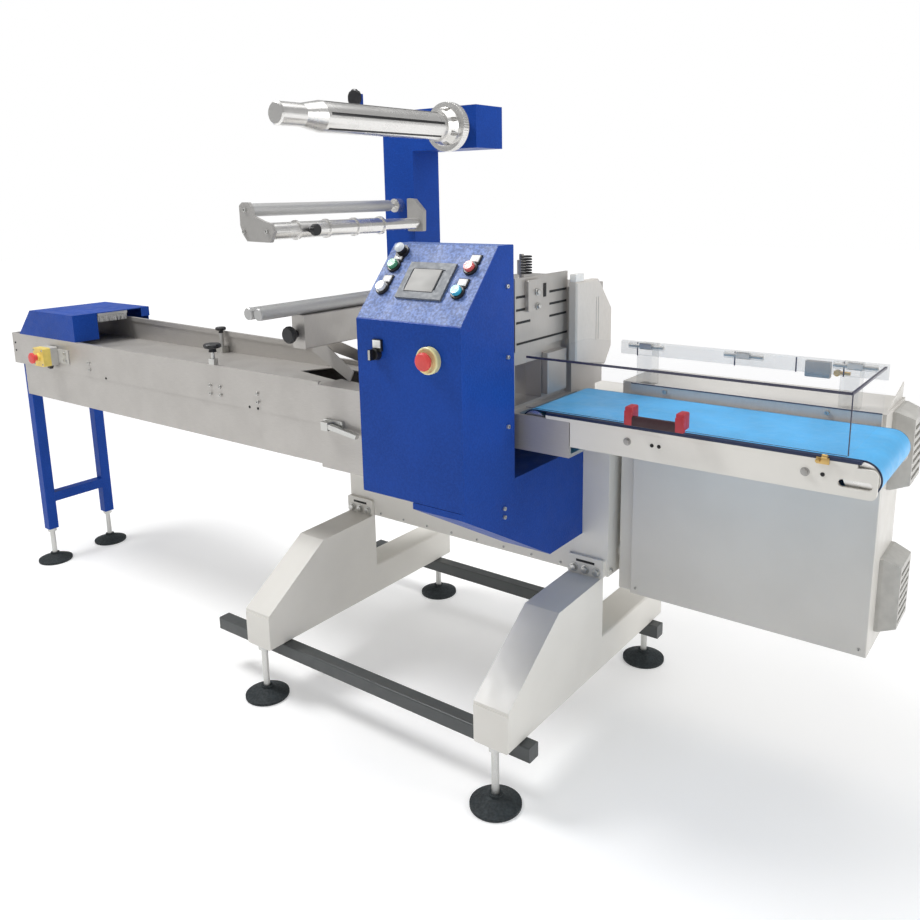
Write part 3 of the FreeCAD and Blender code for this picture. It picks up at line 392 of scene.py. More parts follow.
def brushed_metal(name, colour, stretch, rough=(0.26, 0.4), size=0.5, metallic=1.0, depth=0.008):
    """Sheet or bar with a rolled or ground grain along stretch, smudges and faint wavy sheen."""
    metal = Recipe(name, colour, sum(rough) / 2, metallic)
    lines = metal.grain(size, 3, stretch)
    smudge = metal.grain(70, 4)
    tone = metal.mixed(metal.between(lines, 0, 1, 0.3, 0.7), metal.shade(0.9), metal.shade(1.06))
    metal.coloured(metal.mixed(metal.between(smudge, 0, 0.4, 0.5, 0.75), tone, metal.shade(0.93)))
    metal.roughened(smudge, *rough)
    metal.relief(lines, depth)
    metal.relief(metal.grain(160, 2), depth * 5)
    return metal


def moulded(name, colour, rough=0.4, size=0.7, depth=0.03):
    """Injection-moulded plastic: a fine spark-eroded grain and slightly uneven gloss."""
    plastic = Recipe(name, colour, rough)
    tone = plastic.mixed(plastic.between(plastic.grain(25, 3), 0, 1), plastic.shade(0.92), plastic.shade(1.05))
    plastic.coloured(tone)
    plastic.roughened(plastic.grain(9, 3), rough - 0.07, rough + 0.08)
    plastic.relief(plastic.grain(size, 1), depth)
    return plastic


def rubber_finish(name, colour):
    """Foot rubber: dull, with dust in its grain."""
    rubber = Recipe(name, colour, 0.7)
    dust = rubber.between(rubber.grain(14, 5), 0, 0.5, 0.45, 0.8)
    rubber.coloured(rubber.mixed(dust, rubber.shade(1.0), rubber.shade(2.6)))
    rubber.roughened(rubber.grain(6, 3), 0.6, 0.85)
    rubber.relief(rubber.grain(1.1, 3), 0.08)
    return rubber


def belt_finish(name, colour, edge, front, rear, border):
    """Coated belt: a fine weave under a satin face, and darker cut edges."""
    belt = Recipe(name, colour, 0.38)
    weave = belt.grain(1.0, 1, (1, 3, 1))
    clouds = belt.mixed(belt.between(belt.grain(90, 3), 0, 1), belt.shade(0.93), belt.shade(1.08))
    side = belt.along("Y")
    near = belt.between(side, 1, 0, front, front + border)
    far = belt.between(side, 0, 1, rear - border, rear)
    belt.coloured(belt.mixed(far, belt.mixed(near, clouds, edge), edge))
    belt.roughened(belt.grain(20, 3), 0.32, 0.46)
    belt.relief(weave, 0.03)
    return belt


def clear_sheet(name, colour, veil):
    """Polished acrylic: nearly all light goes straight through, veil is the share that stays."""
    clear = Recipe(name, colour, 0.08)
    clear.set("Alpha", veil)
    clear.set("Specular IOR Level", 0.3)
    clear.coloured(clear.mixed(clear.between(clear.grain(120, 3), 0, 1), clear.shade(0.9), clear.shade(1.08)))
    clear.roughened(clear.grain(0.8, 2, (30, 1, 1)), 0.04, 0.2, 0.45, 0.8)
    return clear


def glowing_panel(name, colour):
    """A display behind its matt film, softly uneven."""
    panel = Recipe(name, colour, 0.5)
    panel.set("Specular IOR Level", 0.25)
    rows = panel.between(panel.grain(38, 1, (1.6, 1, 1)), 0, 1, 0.4, 0.62)
    panel.coloured(panel.mixed(rows, panel.shade(1.05), panel.shade(0.9)))
    panel.roughened(panel.grain(30, 2), 0.42, 0.55)
    return panel


# ---- settings ---------------------------------------------------------------
def colour_setting(name, description, default):
    return bpy.props.FloatVectorProperty(
        name=name, description=description, default=default, subtype="COLOR", size=3, min=0, max=1
    )


def length_setting(name, description, default):
    return bpy.props.FloatProperty(
        name=name, description=description, default=default, min=0, unit="LENGTH"
    )


class PaintSettings(bpy.types.PropertyGroup):
    """Colours of the machine's finishes."""

    frame_paint: colour_setting("Frame", "Powder coat of the legs and body", (0.80, 0.78, 0.73))
    cabinet_paint: colour_setting("Cabinet", "Powder coat of the cabinet", (0.68, 0.66, 0.62))
    blue_paint: colour_setting("Blue", "Hammered enamel of console and stand", (0.009, 0.053, 0.30))
    black_paint: colour_setting("Black", "Paint of the tie bars", (0.06, 0.066, 0.067))
    stainless: colour_setting("Stainless", "Brushed sheet of the infeed and head", (0.50, 0.48, 0.455))
    bright_steel: colour_setting("Bright steel", "Ground shafts and the spindle", (0.82, 0.81, 0.79))
    zinc_steel: colour_setting("Zinc", "Plated fasteners and hinges", (0.60, 0.60, 0.58))
    aluminium: colour_setting("Aluminium", "Anodised rollers and rods", (0.50, 0.50, 0.495))
    grey_plate: colour_setting("Grey plate", "Painted gear cover", (0.68, 0.65, 0.61))
    end_plate: colour_setting("End plate", "Anodised end plates of the rollers", (0.40, 0.39, 0.375))
    rubber: colour_setting("Rubber", "Feet", (0.016, 0.022, 0.025))
    black_plastic: colour_setting("Black plastic", "Knobs and holders", (0.012, 0.012, 0.014))
    belt: colour_setting("Belt", "Face of the discharge belt", (0.09, 0.45, 0.84))
    # Colour of the belt's border, also of the strip of painted shadow between the belt and the discharge frame.
    belt_border_and_shadow: colour_setting("Belt edge", "Cut edge of the belt", (0.008, 0.02, 0.07))
    handle: colour_setting("Handle", "Cover handle", (0.42, 0.025, 0.04))


class StageSettings(bpy.types.PropertyGroup):
    """The studio: floor, lamps and camera."""

    floor_size: length_setting("Floor", "Side of the floor", 40.0)
    floor_colour: colour_setting("Floor colour", "Pale studio floor", (0.85, 0.85, 0.85))
    near_glow: bpy.props.FloatProperty(
        name="Near glow", description="Light of the floor itself under the machine", default=0.25, min=0
    )
    far_glow: bpy.props.FloatProperty(
        name="Far glow", description="Light of the floor itself far away", default=0.8, min=0
    )
    sky: bpy.props.FloatProperty(
        name="Sky", description="Light from the white surroundings", default=0.36, min=0
    )
    key_power: bpy.props.FloatProperty(
        name="Key lamp", description="Soft box over the infeed", default=120.0, min=0, subtype="POWER"
    )
    top_power: bpy.props.FloatProperty(
        name="Top lamp", description="Soft box over the machine", default=90.0, min=0, subtype="POWER"
    )
    fill_power: bpy.props.FloatProperty(
        name="Fill lamp", description="Soft box at the discharge end", default=50.0, min=0, subtype="POWER"
    )
    focal_length: bpy.props.FloatProperty(
        name="Focal length", description="Camera lens, in millimetres", default=33.84, min=1
    )
    eye: bpy.props.FloatVectorProperty(
        name="Eye", description="Camera place from under the legs' middle", default=(1.467, -1.909, 1.45),
        subtype="TRANSLATION", unit="LENGTH", size=3
    )
    turn: bpy.props.FloatProperty(
        name="Turn", description="Camera's turn to the left", default=math.radians(36.61), subtype="ANGLE"
    )
    dip: bpy.props.FloatProperty(
        name="Dip", description="Camera's tilt downwards", default=math.radians(12.32), subtype="ANGLE"
    )
    roll: bpy.props.FloatProperty(
        name="Roll", description="Camera's roll", default=math.radians(-0.96), subtype="ANGLE"
    )
    shift: bpy.props.FloatVectorProperty(
        name="Shift", description="Lens shift across and up", default=(-0.0099, -0.0844), size=2
    )


class FastenerSettings(bpy.types.PropertyGroup):
    """Sizes of the screws and bolts."""

    small: length_setting("Small screw", "Head radius of the sheet screws", 0.0042)
    medium: length_setting("Cap screw", "Head radius of the cap screws", 0.0065)
    large: length_setting("Bolt", "Head radius of the frame bolts", 0.0095)


class BrushSettings(bpy.types.PropertyGroup):
    """The strip brush in the hood's mouth."""

    pitch: length_setting("Pitch", "Distance between tufts", 0.0032)
    bristle: length_setting("Bristle", "Radius of one bristle bundle", 0.0007)
    splay: length_setting("Splay", "How far the tips wander", 0.0025)


class ConsoleSettings(bpy.types.PropertyGroup):
    """Legend plates and display of the console."""

    legend_width: length_setting("Legend width", "Width of a legend plate", 0.022)
    legend_height: length_setting("Legend height", "Height of a legend plate", 0.017)
    legend_thick: length_setting("Legend thickness", "Thickness of a legend plate", 0.0022)
    display_margin: length_setting("Display margin", "Rim of the screen round its display", 0.0190)


SETTINGS = {
    "wrapper_paint": PaintSettings,
    "wrapper_stage": StageSettings,
    "wrapper_fasteners": FastenerSettings,
    "wrapper_brush": BrushSettings,
    "wrapper_console": ConsoleSettings,
}

NODE_FINISHES = {
    "frame_paint": ["leg_frame_left", "leg_frame_right", "machine_body", "body_side_plate",
                    "body_brackets", "discharge_frame"],
    "cabinet_paint": ["cabinet", "cabinet_panel"],
    "black_paint": ["tie_bars"],
    "blue_paint": ["infeed_legs", "infeed_hood", "film_stand", "console_arm"],
    "console_sheen_paint": ["console_box"],
    "sheet_along": ["infeed_trough", "infeed_skirt", "infeed_guide", "forming_housing"],
    "sheet_upright": ["former_plates", "film_arm", "head_housing", "head_plate", "head_fittings"],
    "bright_steel": ["film_spindle", "spindle_flange", "tension_bar", "roller_shafts", "discharge_rollers"],
    "aluminium": ["guide_roller", "film_rod_left", "film_rod_right"],
    "clear_strip": ["cover_rail"],
    "grey_plate": ["gear_cover", "discharge_rail"],
    "end_plate": ["roller_plates"],
    "zinc_steel": ["foot_stems", "guide_clamps", "toggle_latch", "hinge_leaves"],
    "rubber": ["foot_pads"],
    "black_plastic": ["hand_knobs", "button_collars", "selector_switch"],
    "grey_plastic": ["stop_box", "filter_fans"],
    "yellow_plastic": ["stop_box_lid"],
    "ring_plastic": ["estop_ring"],
    "red_plastic": ["stop_box_button", "estop_button"],
    "screen_frame": ["touch_screen"],
    "belt_face": ["discharge_belt"],
    "clear_acrylic": ["discharge_cover"],
    "handle_plastic": ["cover_handle"],
    "green_cap": ["push_button_green"],
    "white_cap": ["push_button_white"],
    "red_cap": ["push_button_red"],
    "blue_cap": ["push_button_blue"],
    "bristle": ["hood_brush"],
}


# ---- operators --------------------------------------------------------------
class Finishes(bpy.types.Operator):
    """Mixes every finish and gives each node of the frame its own"""

    bl_idname = "wrapper.finishes"
    bl_label = "Finishes"

    def execute(self, context):
        paint = context.scene.wrapper_paint
        belt = Span("discharge_belt")
        powder_coat("frame_paint", paint.frame_paint)
        powder_coat("cabinet_paint", paint.cabinet_paint, 1.0, darker_low=False)
        powder_coat("black_paint", paint.black_paint, 2.0, darker_low=False)
        hammered_paint("blue_paint", paint.blue_paint)
        box = Span("console_box")
        # The console box's sloping face gets a painted sheen: a lighter flecked blue above the slope's foot and left
        # of the box's right side.
        hammered_paint("console_sheen_paint", paint.blue_paint, (0.135, 0.205, 0.45), slope_foot(), (box.right - 1) * MM)
        brushed_metal("sheet_along", paint.stainless, (60, 1, 1), (0.36, 0.46), 0.5, 0.6)
        brushed_metal("sheet_upright", paint.stainless, (1, 1, 50), (0.34, 0.46), 0.5, 0.7)
        brushed_metal("bright_steel", paint.bright_steel, (1, 0.4, 1), (0.2, 0.3), 1.5, 0.9, 0.0015)
        brushed_metal("zinc_steel", paint.zinc_steel, (1, 1, 1), (0.3, 0.42), 2.0)
        brushed_metal("aluminium", paint.aluminium, (1, 14, 1), (0.42, 0.52), 0.8, 0.6)
        brushed_metal("grey_plate", paint.grey_plate, (1, 1, 20), (0.45, 0.55), 0.8, 0.1)
        brushed_metal("end_plate", paint.end_plate, (1, 1, 20), (0.45, 0.55), 0.8, 0.3)
        rubber_finish("rubber", paint.rubber)
        moulded("black_plastic", paint.black_plastic, 0.36)
        # Near-black finish: dark screws, springs and marks, and painted shade in the screws' cross recesses and
        # behind the head plate's slots.
        moulded("recess", (0.01, 0.01, 0.011), 0.6)
        moulded("grey_plastic", (0.52, 0.51, 0.48), 0.45)
        moulded("white_plastic", (0.82, 0.82, 0.80), 0.35)
        moulded("legend", (0.86, 0.86, 0.85), 0.3)
        moulded("yellow_plastic", (0.85, 0.66, 0.16), 0.38)
        moulded("ring_plastic", (0.84, 0.79, 0.42), 0.38)
        moulded("red_plastic", (0.74, 0.075, 0.07), 0.38)
        moulded("screen_frame", (0.17, 0.185, 0.205), 0.5)
        moulded("screen_rear", (0.02, 0.022, 0.028), 0.4)
        moulded("green_cap", (0.10, 0.36, 0.20), 0.25)
        moulded("white_cap", (0.80, 0.82, 0.83), 0.25)
        moulded("red_cap", (0.72, 0.14, 0.13), 0.25)
        moulded("blue_cap", (0.06, 0.46, 0.68), 0.25)
        moulded("lamp_lens", (0.72, 0.76, 0.80), 0.18)
        moulded("handle_plastic", paint.handle, 0.42)
        moulded("handle_dark", (0.035, 0.008, 0.012), 0.5)
        moulded("bristle", (0.80, 0.80, 0.79), 0.55, 0.4, 0.02)
        moulded("brass", (0.62, 0.42, 0.16), 0.35).set("Metallic", 0.9)
        belt_finish(
            "belt_face", paint.belt, tuple(paint.belt_border_and_shadow), belt.front * MM, belt.rear * MM, 0.004
        )
        clear_sheet("clear_acrylic", (0.35, 0.35, 0.45), 0.035)
        clear_sheet("clear_strip", (0.62, 0.62, 0.60), 0.22)
        # Dark violet finish: painted shade for the clear sheets' cut edges, also used for dark lines on the rails.
        moulded("clear_edge", (0.05, 0.05, 0.085), 0.25)
        # The belt's cut edge together with the painted shadow beside it.
        moulded("belt_rim_and_shadow", tuple(paint.belt_border_and_shadow), 0.5)
        glowing_panel("display", (0.47, 0.465, 0.45))
        for finish, nodes in NODE_FINISHES.items():
            for node in nodes:
                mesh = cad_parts[node].data
                mesh.materials.clear()
                mesh.materials.append(bpy.data.materials[FINISH_PREFIX + finish])
        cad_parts["discharge_cover"].visible_shadow = False
        return {"FINISHED"}


class FrameFasteners(bpy.types.Operator):
    """Bolts of the body's brackets, screws along its lower edge and on its side plate"""

    bl_idname = "wrapper.frame_fasteners"
    bl_label = "Frame fasteners"

    def execute(self, context):
        sizes = context.scene.wrapper_fasteners
        body = Span("machine_body")
        side = Span("body_side_plate")
        bracket = Span("body_brackets")
        shape = Shape()
        bolt = sizes.large / MM
        for middle in (bracket.left + 54, bracket.right - 54):
            for step in (-34, 0, 34):
                shape.hex_bolt((middle + step, bracket.front, bracket.bottom + 16), FRONT, bolt, "zinc_steel")
            shape.block(
                (middle - 28, bracket.front - 0.4, bracket.top - 18),
                (middle + 28, bracket.front + 1, bracket.top - 11),
                "recess", 0.3,
            )
        small = sizes.small / MM
        count = 8
        for k in range(count):
            x = body.left + 130 + (body.right - body.left - 260) * k / (count - 1)
            shape.pan_screw((x, body.front, body.bottom + 12), FRONT, small, "zinc_steel")
        for y in (side.front + 18, side.y, side.rear - 18):
            for z in (side.bottom + 16, side.top - 16):
                shape.cap_screw((side.right, y, z), RIGHT, small * 1.3, "zinc_steel")
        shape.piece("frame_fasteners", MACHINE)
        return {"FINISHED"}


class InfeedFasteners(bpy.types.Operator):
    """Bolt pairs and seam screws of the infeed trough"""

    bl_idname = "wrapper.infeed_fasteners"
    bl_label = "Infeed fasteners"

    def execute(self, context):
        sizes = context.scene.wrapper_fasteners
        trough = Span("infeed_trough")
        skirt = Span("infeed_skirt")
        stop = Span("stop_box")
        clamp = Span("guide_clamps")
        cap = sizes.medium / MM
        small = sizes.small / MM
        shape = Shape()
        pairs = (stop.right + 132, clamp.right - 26, clamp.right + 22, trough.right - 260)
        for x in pairs:
            for z in (trough.bottom + 52, trough.bottom + 26):
                shape.cap_screw((x, trough.front, z), FRONT, cap * 0.8, "zinc_steel")
        for z in (stop.z + 13, stop.z - 13):
            shape.cap_screw((stop.right - 22, stop.rear - 3, z), FRONT, cap * 0.8, "zinc_steel")
        for x in (trough.left + 250, trough.left + 640, trough.right - 300, trough.right - 262):
            shape.pan_screw((x, trough.front, trough.bottom + 6), FRONT, small, "recess")
        for z in (trough.bottom + 80, trough.bottom + 50):
            shape.pan_screw((trough.left + 20, trough.front, z), FRONT, small, "recess")
        for x in (trough.left + 500, trough.left + 1100):
            shape.pan_screw((x, skirt.rear, skirt.z), -FRONT, small, "zinc_steel")
        shape.piece("infeed_fasteners", MACHINE)
        return {"FINISHED"}


class HoodBrush(bpy.types.Operator):
    """The strip brush: a metal back and rows of slightly splayed bristles"""

    bl_idname = "wrapper.hood_brush"
    bl_label = "Hood brush"

    def execute(self, context):
        sizes = context.scene.wrapper_brush
        box = Span("hood_brush")
        draw = random.Random(7)
        pitch = sizes.pitch / MM
        splay = sizes.splay / MM
        back = 11.0
        shape = Shape()
        shape.block(
            (box.left - 0.5, box.front, box.top - back), (box.right, box.rear, box.top), "aluminium", 0.5
        )
        count = int((box.rear - box.front) / pitch)
        for row in (-0.6, 0.6):
            for k in range(count):
                y = box.front + pitch * (k + 0.5)
                tip = Vector((draw.uniform(-1, 1), draw.uniform(-1, 1), 0)) * splay
                foot = Vector((box.x + row, y, box.top - back + 1))
                end = Vector((box.x + row, y, box.bottom + draw.uniform(0, 2))) + tip
                run = end - foot
                shape.drum(
                    foot, run, sizes.bristle / MM, run.length, "bristle",
                    top=sizes.bristle / MM * 0.7, sides=5,
                )
        made = shape.piece("hood_brush_strip", MACHINE)
        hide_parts("hood_brush")
        return {"FINISHED"}


class StopBox(bpy.types.Operator):
    """Lid screws, cable gland and collar of the infeed stop box"""

    bl_idname = "wrapper.stop_box"
    bl_label = "Stop box"

    def execute(self, context):
        sizes = context.scene.wrapper_fasteners
        lid = Span("stop_box_lid")
        base = Span("stop_box")
        small = sizes.small / MM
        shape = Shape()
        inset = 8.0
        for x in (lid.left + inset, lid.right - inset):
            for z in (lid.bottom + inset, lid.top - inset):
                shape.pan_screw((x, lid.rear - 29, z), FRONT, small, "zinc_steel")
        shape.drum((lid.x, base.rear - 16, lid.bottom), -UP, 10, 9, "black_plastic", 1, sides=6)
        shape.drum((lid.x, base.rear - 16, lid.bottom - 9), -UP, 7.5, 7, "black_plastic", 2)
        shape.piece("stop_box_screws", MACHINE)
        return {"FINISHED"}


class FilmPath(bpy.types.Operator):
    """Gripping strips and serrated rim of the film spindle, screws of the roller plates"""

    bl_idname = "wrapper.film_path"
    bl_label = "Film path"

    def execute(self, context):
        self.spindle()
        self.plates(context.scene.wrapper_fasteners)
        return {"FINISHED"}

    def spindle(self):
        spindle = Span("film_spindle")
        flange = Span("spindle_flange")
        grooves = 6
        first = math.radians(8)
        radius = (spindle.right - spindle.left) / 2
        start = spindle.front + 148
        shape = Shape()
        for k in range(grooves):
            angle = first + math.tau / grooves * k
            turn = Matrix.Rotation(-angle, 3, "Y")
            middle = Vector((spindle.x, (start + spindle.rear - 12) / 2, spindle.z))
            reach = (spindle.rear - 12 - start) / 2
            form = bmesh.new()
            bmesh.ops.create_cube(form, size=2)
            bmesh.ops.scale(form, vec=(1.0, reach, 3.2), verts=form.verts)
            soften(form, form.edges, 0.5)
            place(form, middle + turn @ Vector((radius - 2.4, 0, 0)), turn)
            shape.add(form, "black_plastic")
        shape.piece("spindle_strips", "film_spindle")
        rim = Shape()
        teeth = 60
        outer = (flange.right - flange.left) / 2
        for k in range(teeth):
            angle = math.tau / teeth * k
            turn = Matrix.Rotation(-angle, 3, "Y")
            middle = Vector((flange.x, flange.front + 49, flange.z)) + turn @ Vector((outer - 0.6, 0, 0))
            form = bmesh.new()
            bmesh.ops.create_cube(form, size=2)
            bmesh.ops.scale(form, vec=(1.4, 10, 1.8), verts=form.verts)
            soften(form, form.edges, 0.6)
            place(form, middle, turn)
            rim.add(form, "bright_steel")
        rim.piece("spindle_serration", "film_spindle")

    def plates(self, sizes):
        plates = Span("roller_plates")
        roller = Span("guide_roller")
        bar = Span("tension_bar")
        cap = sizes.small / MM
        shape = Shape()
        for x, z in ((roller.x, roller.z), (bar.x, bar.z), (roller.x - 8, bar.z - 2)):
            shape.cap_screw((x, plates.front, z), FRONT, cap * 1.2, "zinc_steel")
        shape.piece("roller_plate_screws", MACHINE)


class Console(bpy.types.Operator):
    """Display, legend plates, lamp and screws of the operator's console"""

    bl_idname = "wrapper.console"
    bl_label = "Console"

    def execute(self, context):
        sizes = context.scene.wrapper_console
        screws = context.scene.wrapper_fasteners
        box = Span("console_box")
        screen = Span("touch_screen")
        out, up = self.slope()
        self.display(sizes, screen, up, out)
        self.legends(sizes, up, out)
        self.lamp(out)
        shape = Shape()
        for z in (box.top - 90, box.z + 36, box.bottom + 160):
            shape.cap_screw((box.right, box.rear - 28, z), RIGHT, screws.medium / MM * 0.75, "zinc_steel")
        for z in (box.bottom - 32, box.bottom - 53):
            shape.cap_screw((box.right, box.rear - 46, z), RIGHT, screws.medium / MM * 0.75, "zinc_steel")
        shape.piece("console_screws", MACHINE)
        return {"FINISHED"}

    def slope(self):
        """The outward normal and the upward line of the sloping face, read from the screen's glass."""
        glass = max(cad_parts["touch_screen"].data.polygons, key=lambda face: face.area)
        out = glass.normal.normalized()
        if out.y > 0:
            out = -out
        return out, out.cross(RIGHT).normalized()

    def display(self, sizes, screen, up, out):
        vertices = [v.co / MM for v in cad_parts["touch_screen"].data.vertices]
        reach = [v.dot(up) for v in vertices]
        height = [v.dot(out) for v in vertices]
        low, high = min(reach), max(reach)
        face = max(height)
        margin = sizes.display_margin / MM
        shift = margin / 3
        middle = Vector((screen.x - shift, 0, 0)) + up * (low + high) / 2 + out * face
        width = (screen.right - screen.left) / 2 - margin - shift
        rise = (high - low) / 2 - margin
        shape = Shape()
        outline = [(-width, -rise), (width, -rise), (width, rise), (-width, rise)]
        shape.sheet(outline, 0.6, middle, RIGHT, up, "display", 0.2)
        rim = [(-width - 2, -rise - 2), (width + 2, -rise - 2), (width + 2, rise + 2), (-width - 2, rise + 2)]
        shape.sheet(rim, 0.3, middle, RIGHT, up, "screen_rear", 0.1)
        shape.piece("screen_display", MACHINE)

    def legends(self, sizes, up, out):
        width = sizes.legend_width / MM / 2
        height = sizes.legend_height / MM / 2
        thick = sizes.legend_thick / MM
        shape = Shape()
        for name in ("green", "white", "red", "blue"):
            button = Span("push_button_" + name)
            vertices = [v.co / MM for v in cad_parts["push_button_" + name].data.vertices]
            base = min(v.dot(out) for v in vertices) - 1.0
            middle = Vector((button.x, button.y, button.z))
            middle += out * (base + 2.0 - middle.dot(out)) + up * 25 + RIGHT * 2
            back = [(-width - 3, -height - 4), (width + 3, -height - 4), (width + 3, height + 3),
                    (-width - 3, height + 3)]
            shape.sheet(back, 8.0, middle, RIGHT, up, "black_plastic", 0.8)
            plate = [(-width, -height), (width, -height), (width, height), (-width, height)]
            shape.sheet(plate, 8.0 + thick, middle, RIGHT, up, "legend", 0.5)
        selector = Span("selector_switch")
        box = Span("console_box")
        middle = Vector((selector.x + 6, box.front, selector.z + 23))
        back = [(-width - 2, -height - 8), (width + 2, -height - 8), (width + 2, height + 2),
                (-width - 2, height + 2)]
        shape.sheet(back, 6.0, middle, RIGHT, UP, "black_plastic", 0.5)
        plate = [(-width, -height), (width, -height), (width, height), (-width, height)]
        shape.sheet(plate, 6.0 + thick, middle, RIGHT, UP, "legend", 0.5)
        shape.piece("legend_plates", MACHINE)
        pointer = Shape()
        front = selector.front
        pointer.block(
            (selector.x - 3, front - 0.6, selector.z - 11), (selector.x + 3, front + 3, selector.z + 11),
            "grey_plastic", 0.5,
        )
        pointer.piece("selector_pointer", "selector_switch")

    def lamp(self, out):
        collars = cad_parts["button_collars"].data.vertices
        top = max(v.co.z for v in collars) / MM
        high = [v.co / MM for v in collars if v.co.z / MM > top - 30]
        middle = sum(high, Vector()) / len(high)
        face = max(v.dot(out) for v in high)
        middle += out * (face - middle.dot(out))
        shape = Shape()
        profile = [(12, -1), (12, 3), (10.5, 6), (7, 8), (3.5, 8.8), (0, 9)]
        shape.spun(profile, middle, out, "lamp_lens")
        shape.piece("signal_lamp", MACHINE)


class Head(bpy.types.Operator):
    """Bolts, springs, painted shade in the plate's slots and blocks of the sealing head"""

    bl_idname = "wrapper.head"
    bl_label = "Sealing head"

    def execute(self, context):
        sizes = context.scene.wrapper_fasteners
        plate = Span("head_plate")
        gear = Span("gear_cover")
        fittings = Span("head_fittings")
        cap = sizes.medium / MM
        face = plate.right
        shape = Shape()
        # A near-black block behind the head plate's slots: painted shade that makes the slots look dark, since the
        # housing behind them has the plate's colour.
        shape.block(
            (plate.left - 1.5, plate.front + 2, plate.bottom + 60),
            (plate.right - 0.8, plate.rear - 2, plate.top - 38),
            "recess",
        )
        for y, z in ((80, 37), (83, 71)):
            seat = (fittings.right - 1, plate.front + y, plate.top - z)
            shape.hex_bolt(seat, RIGHT, cap, "zinc_steel")
        shape.block(
            (face, plate.rear - 116, plate.top - 54), (face + 1.5, plate.rear - 104, plate.top - 21), "recess", 0.4
        )
        shape.block((face, plate.front + 6, plate.bottom + 16), (face + 1.2, plate.rear - 3, plate.bottom + 21), "recess")
        shape.block(
            (gear.left + 1, gear.front, gear.top), (gear.right - 3, gear.front + 42, gear.top + 20), "white_plastic", 1.5
        )
        for k in range(2):
            middle = gear.y + 6 + 12 * k
            shape.block(
                (gear.right - 0.2, middle, gear.bottom + 74), (gear.right + 0.5, middle + 1.6, gear.top - 46), "end_plate"
            )
        wire = 2.0
        coil = 12.5
        turns = 7
        ring = [
            (coil + wire * math.cos(math.tau * k / 8), wire * math.sin(math.tau * k / 8)) for k in range(8)
        ]
        for k in range(turns):
            foot = (fittings.x, plate.front + 66, plate.top + 8 + 6.4 * k)
            shape.spun(ring, foot, UP, "recess", steps=24)
        shape.piece("head_details", MACHINE)
        return {"FINISHED"}


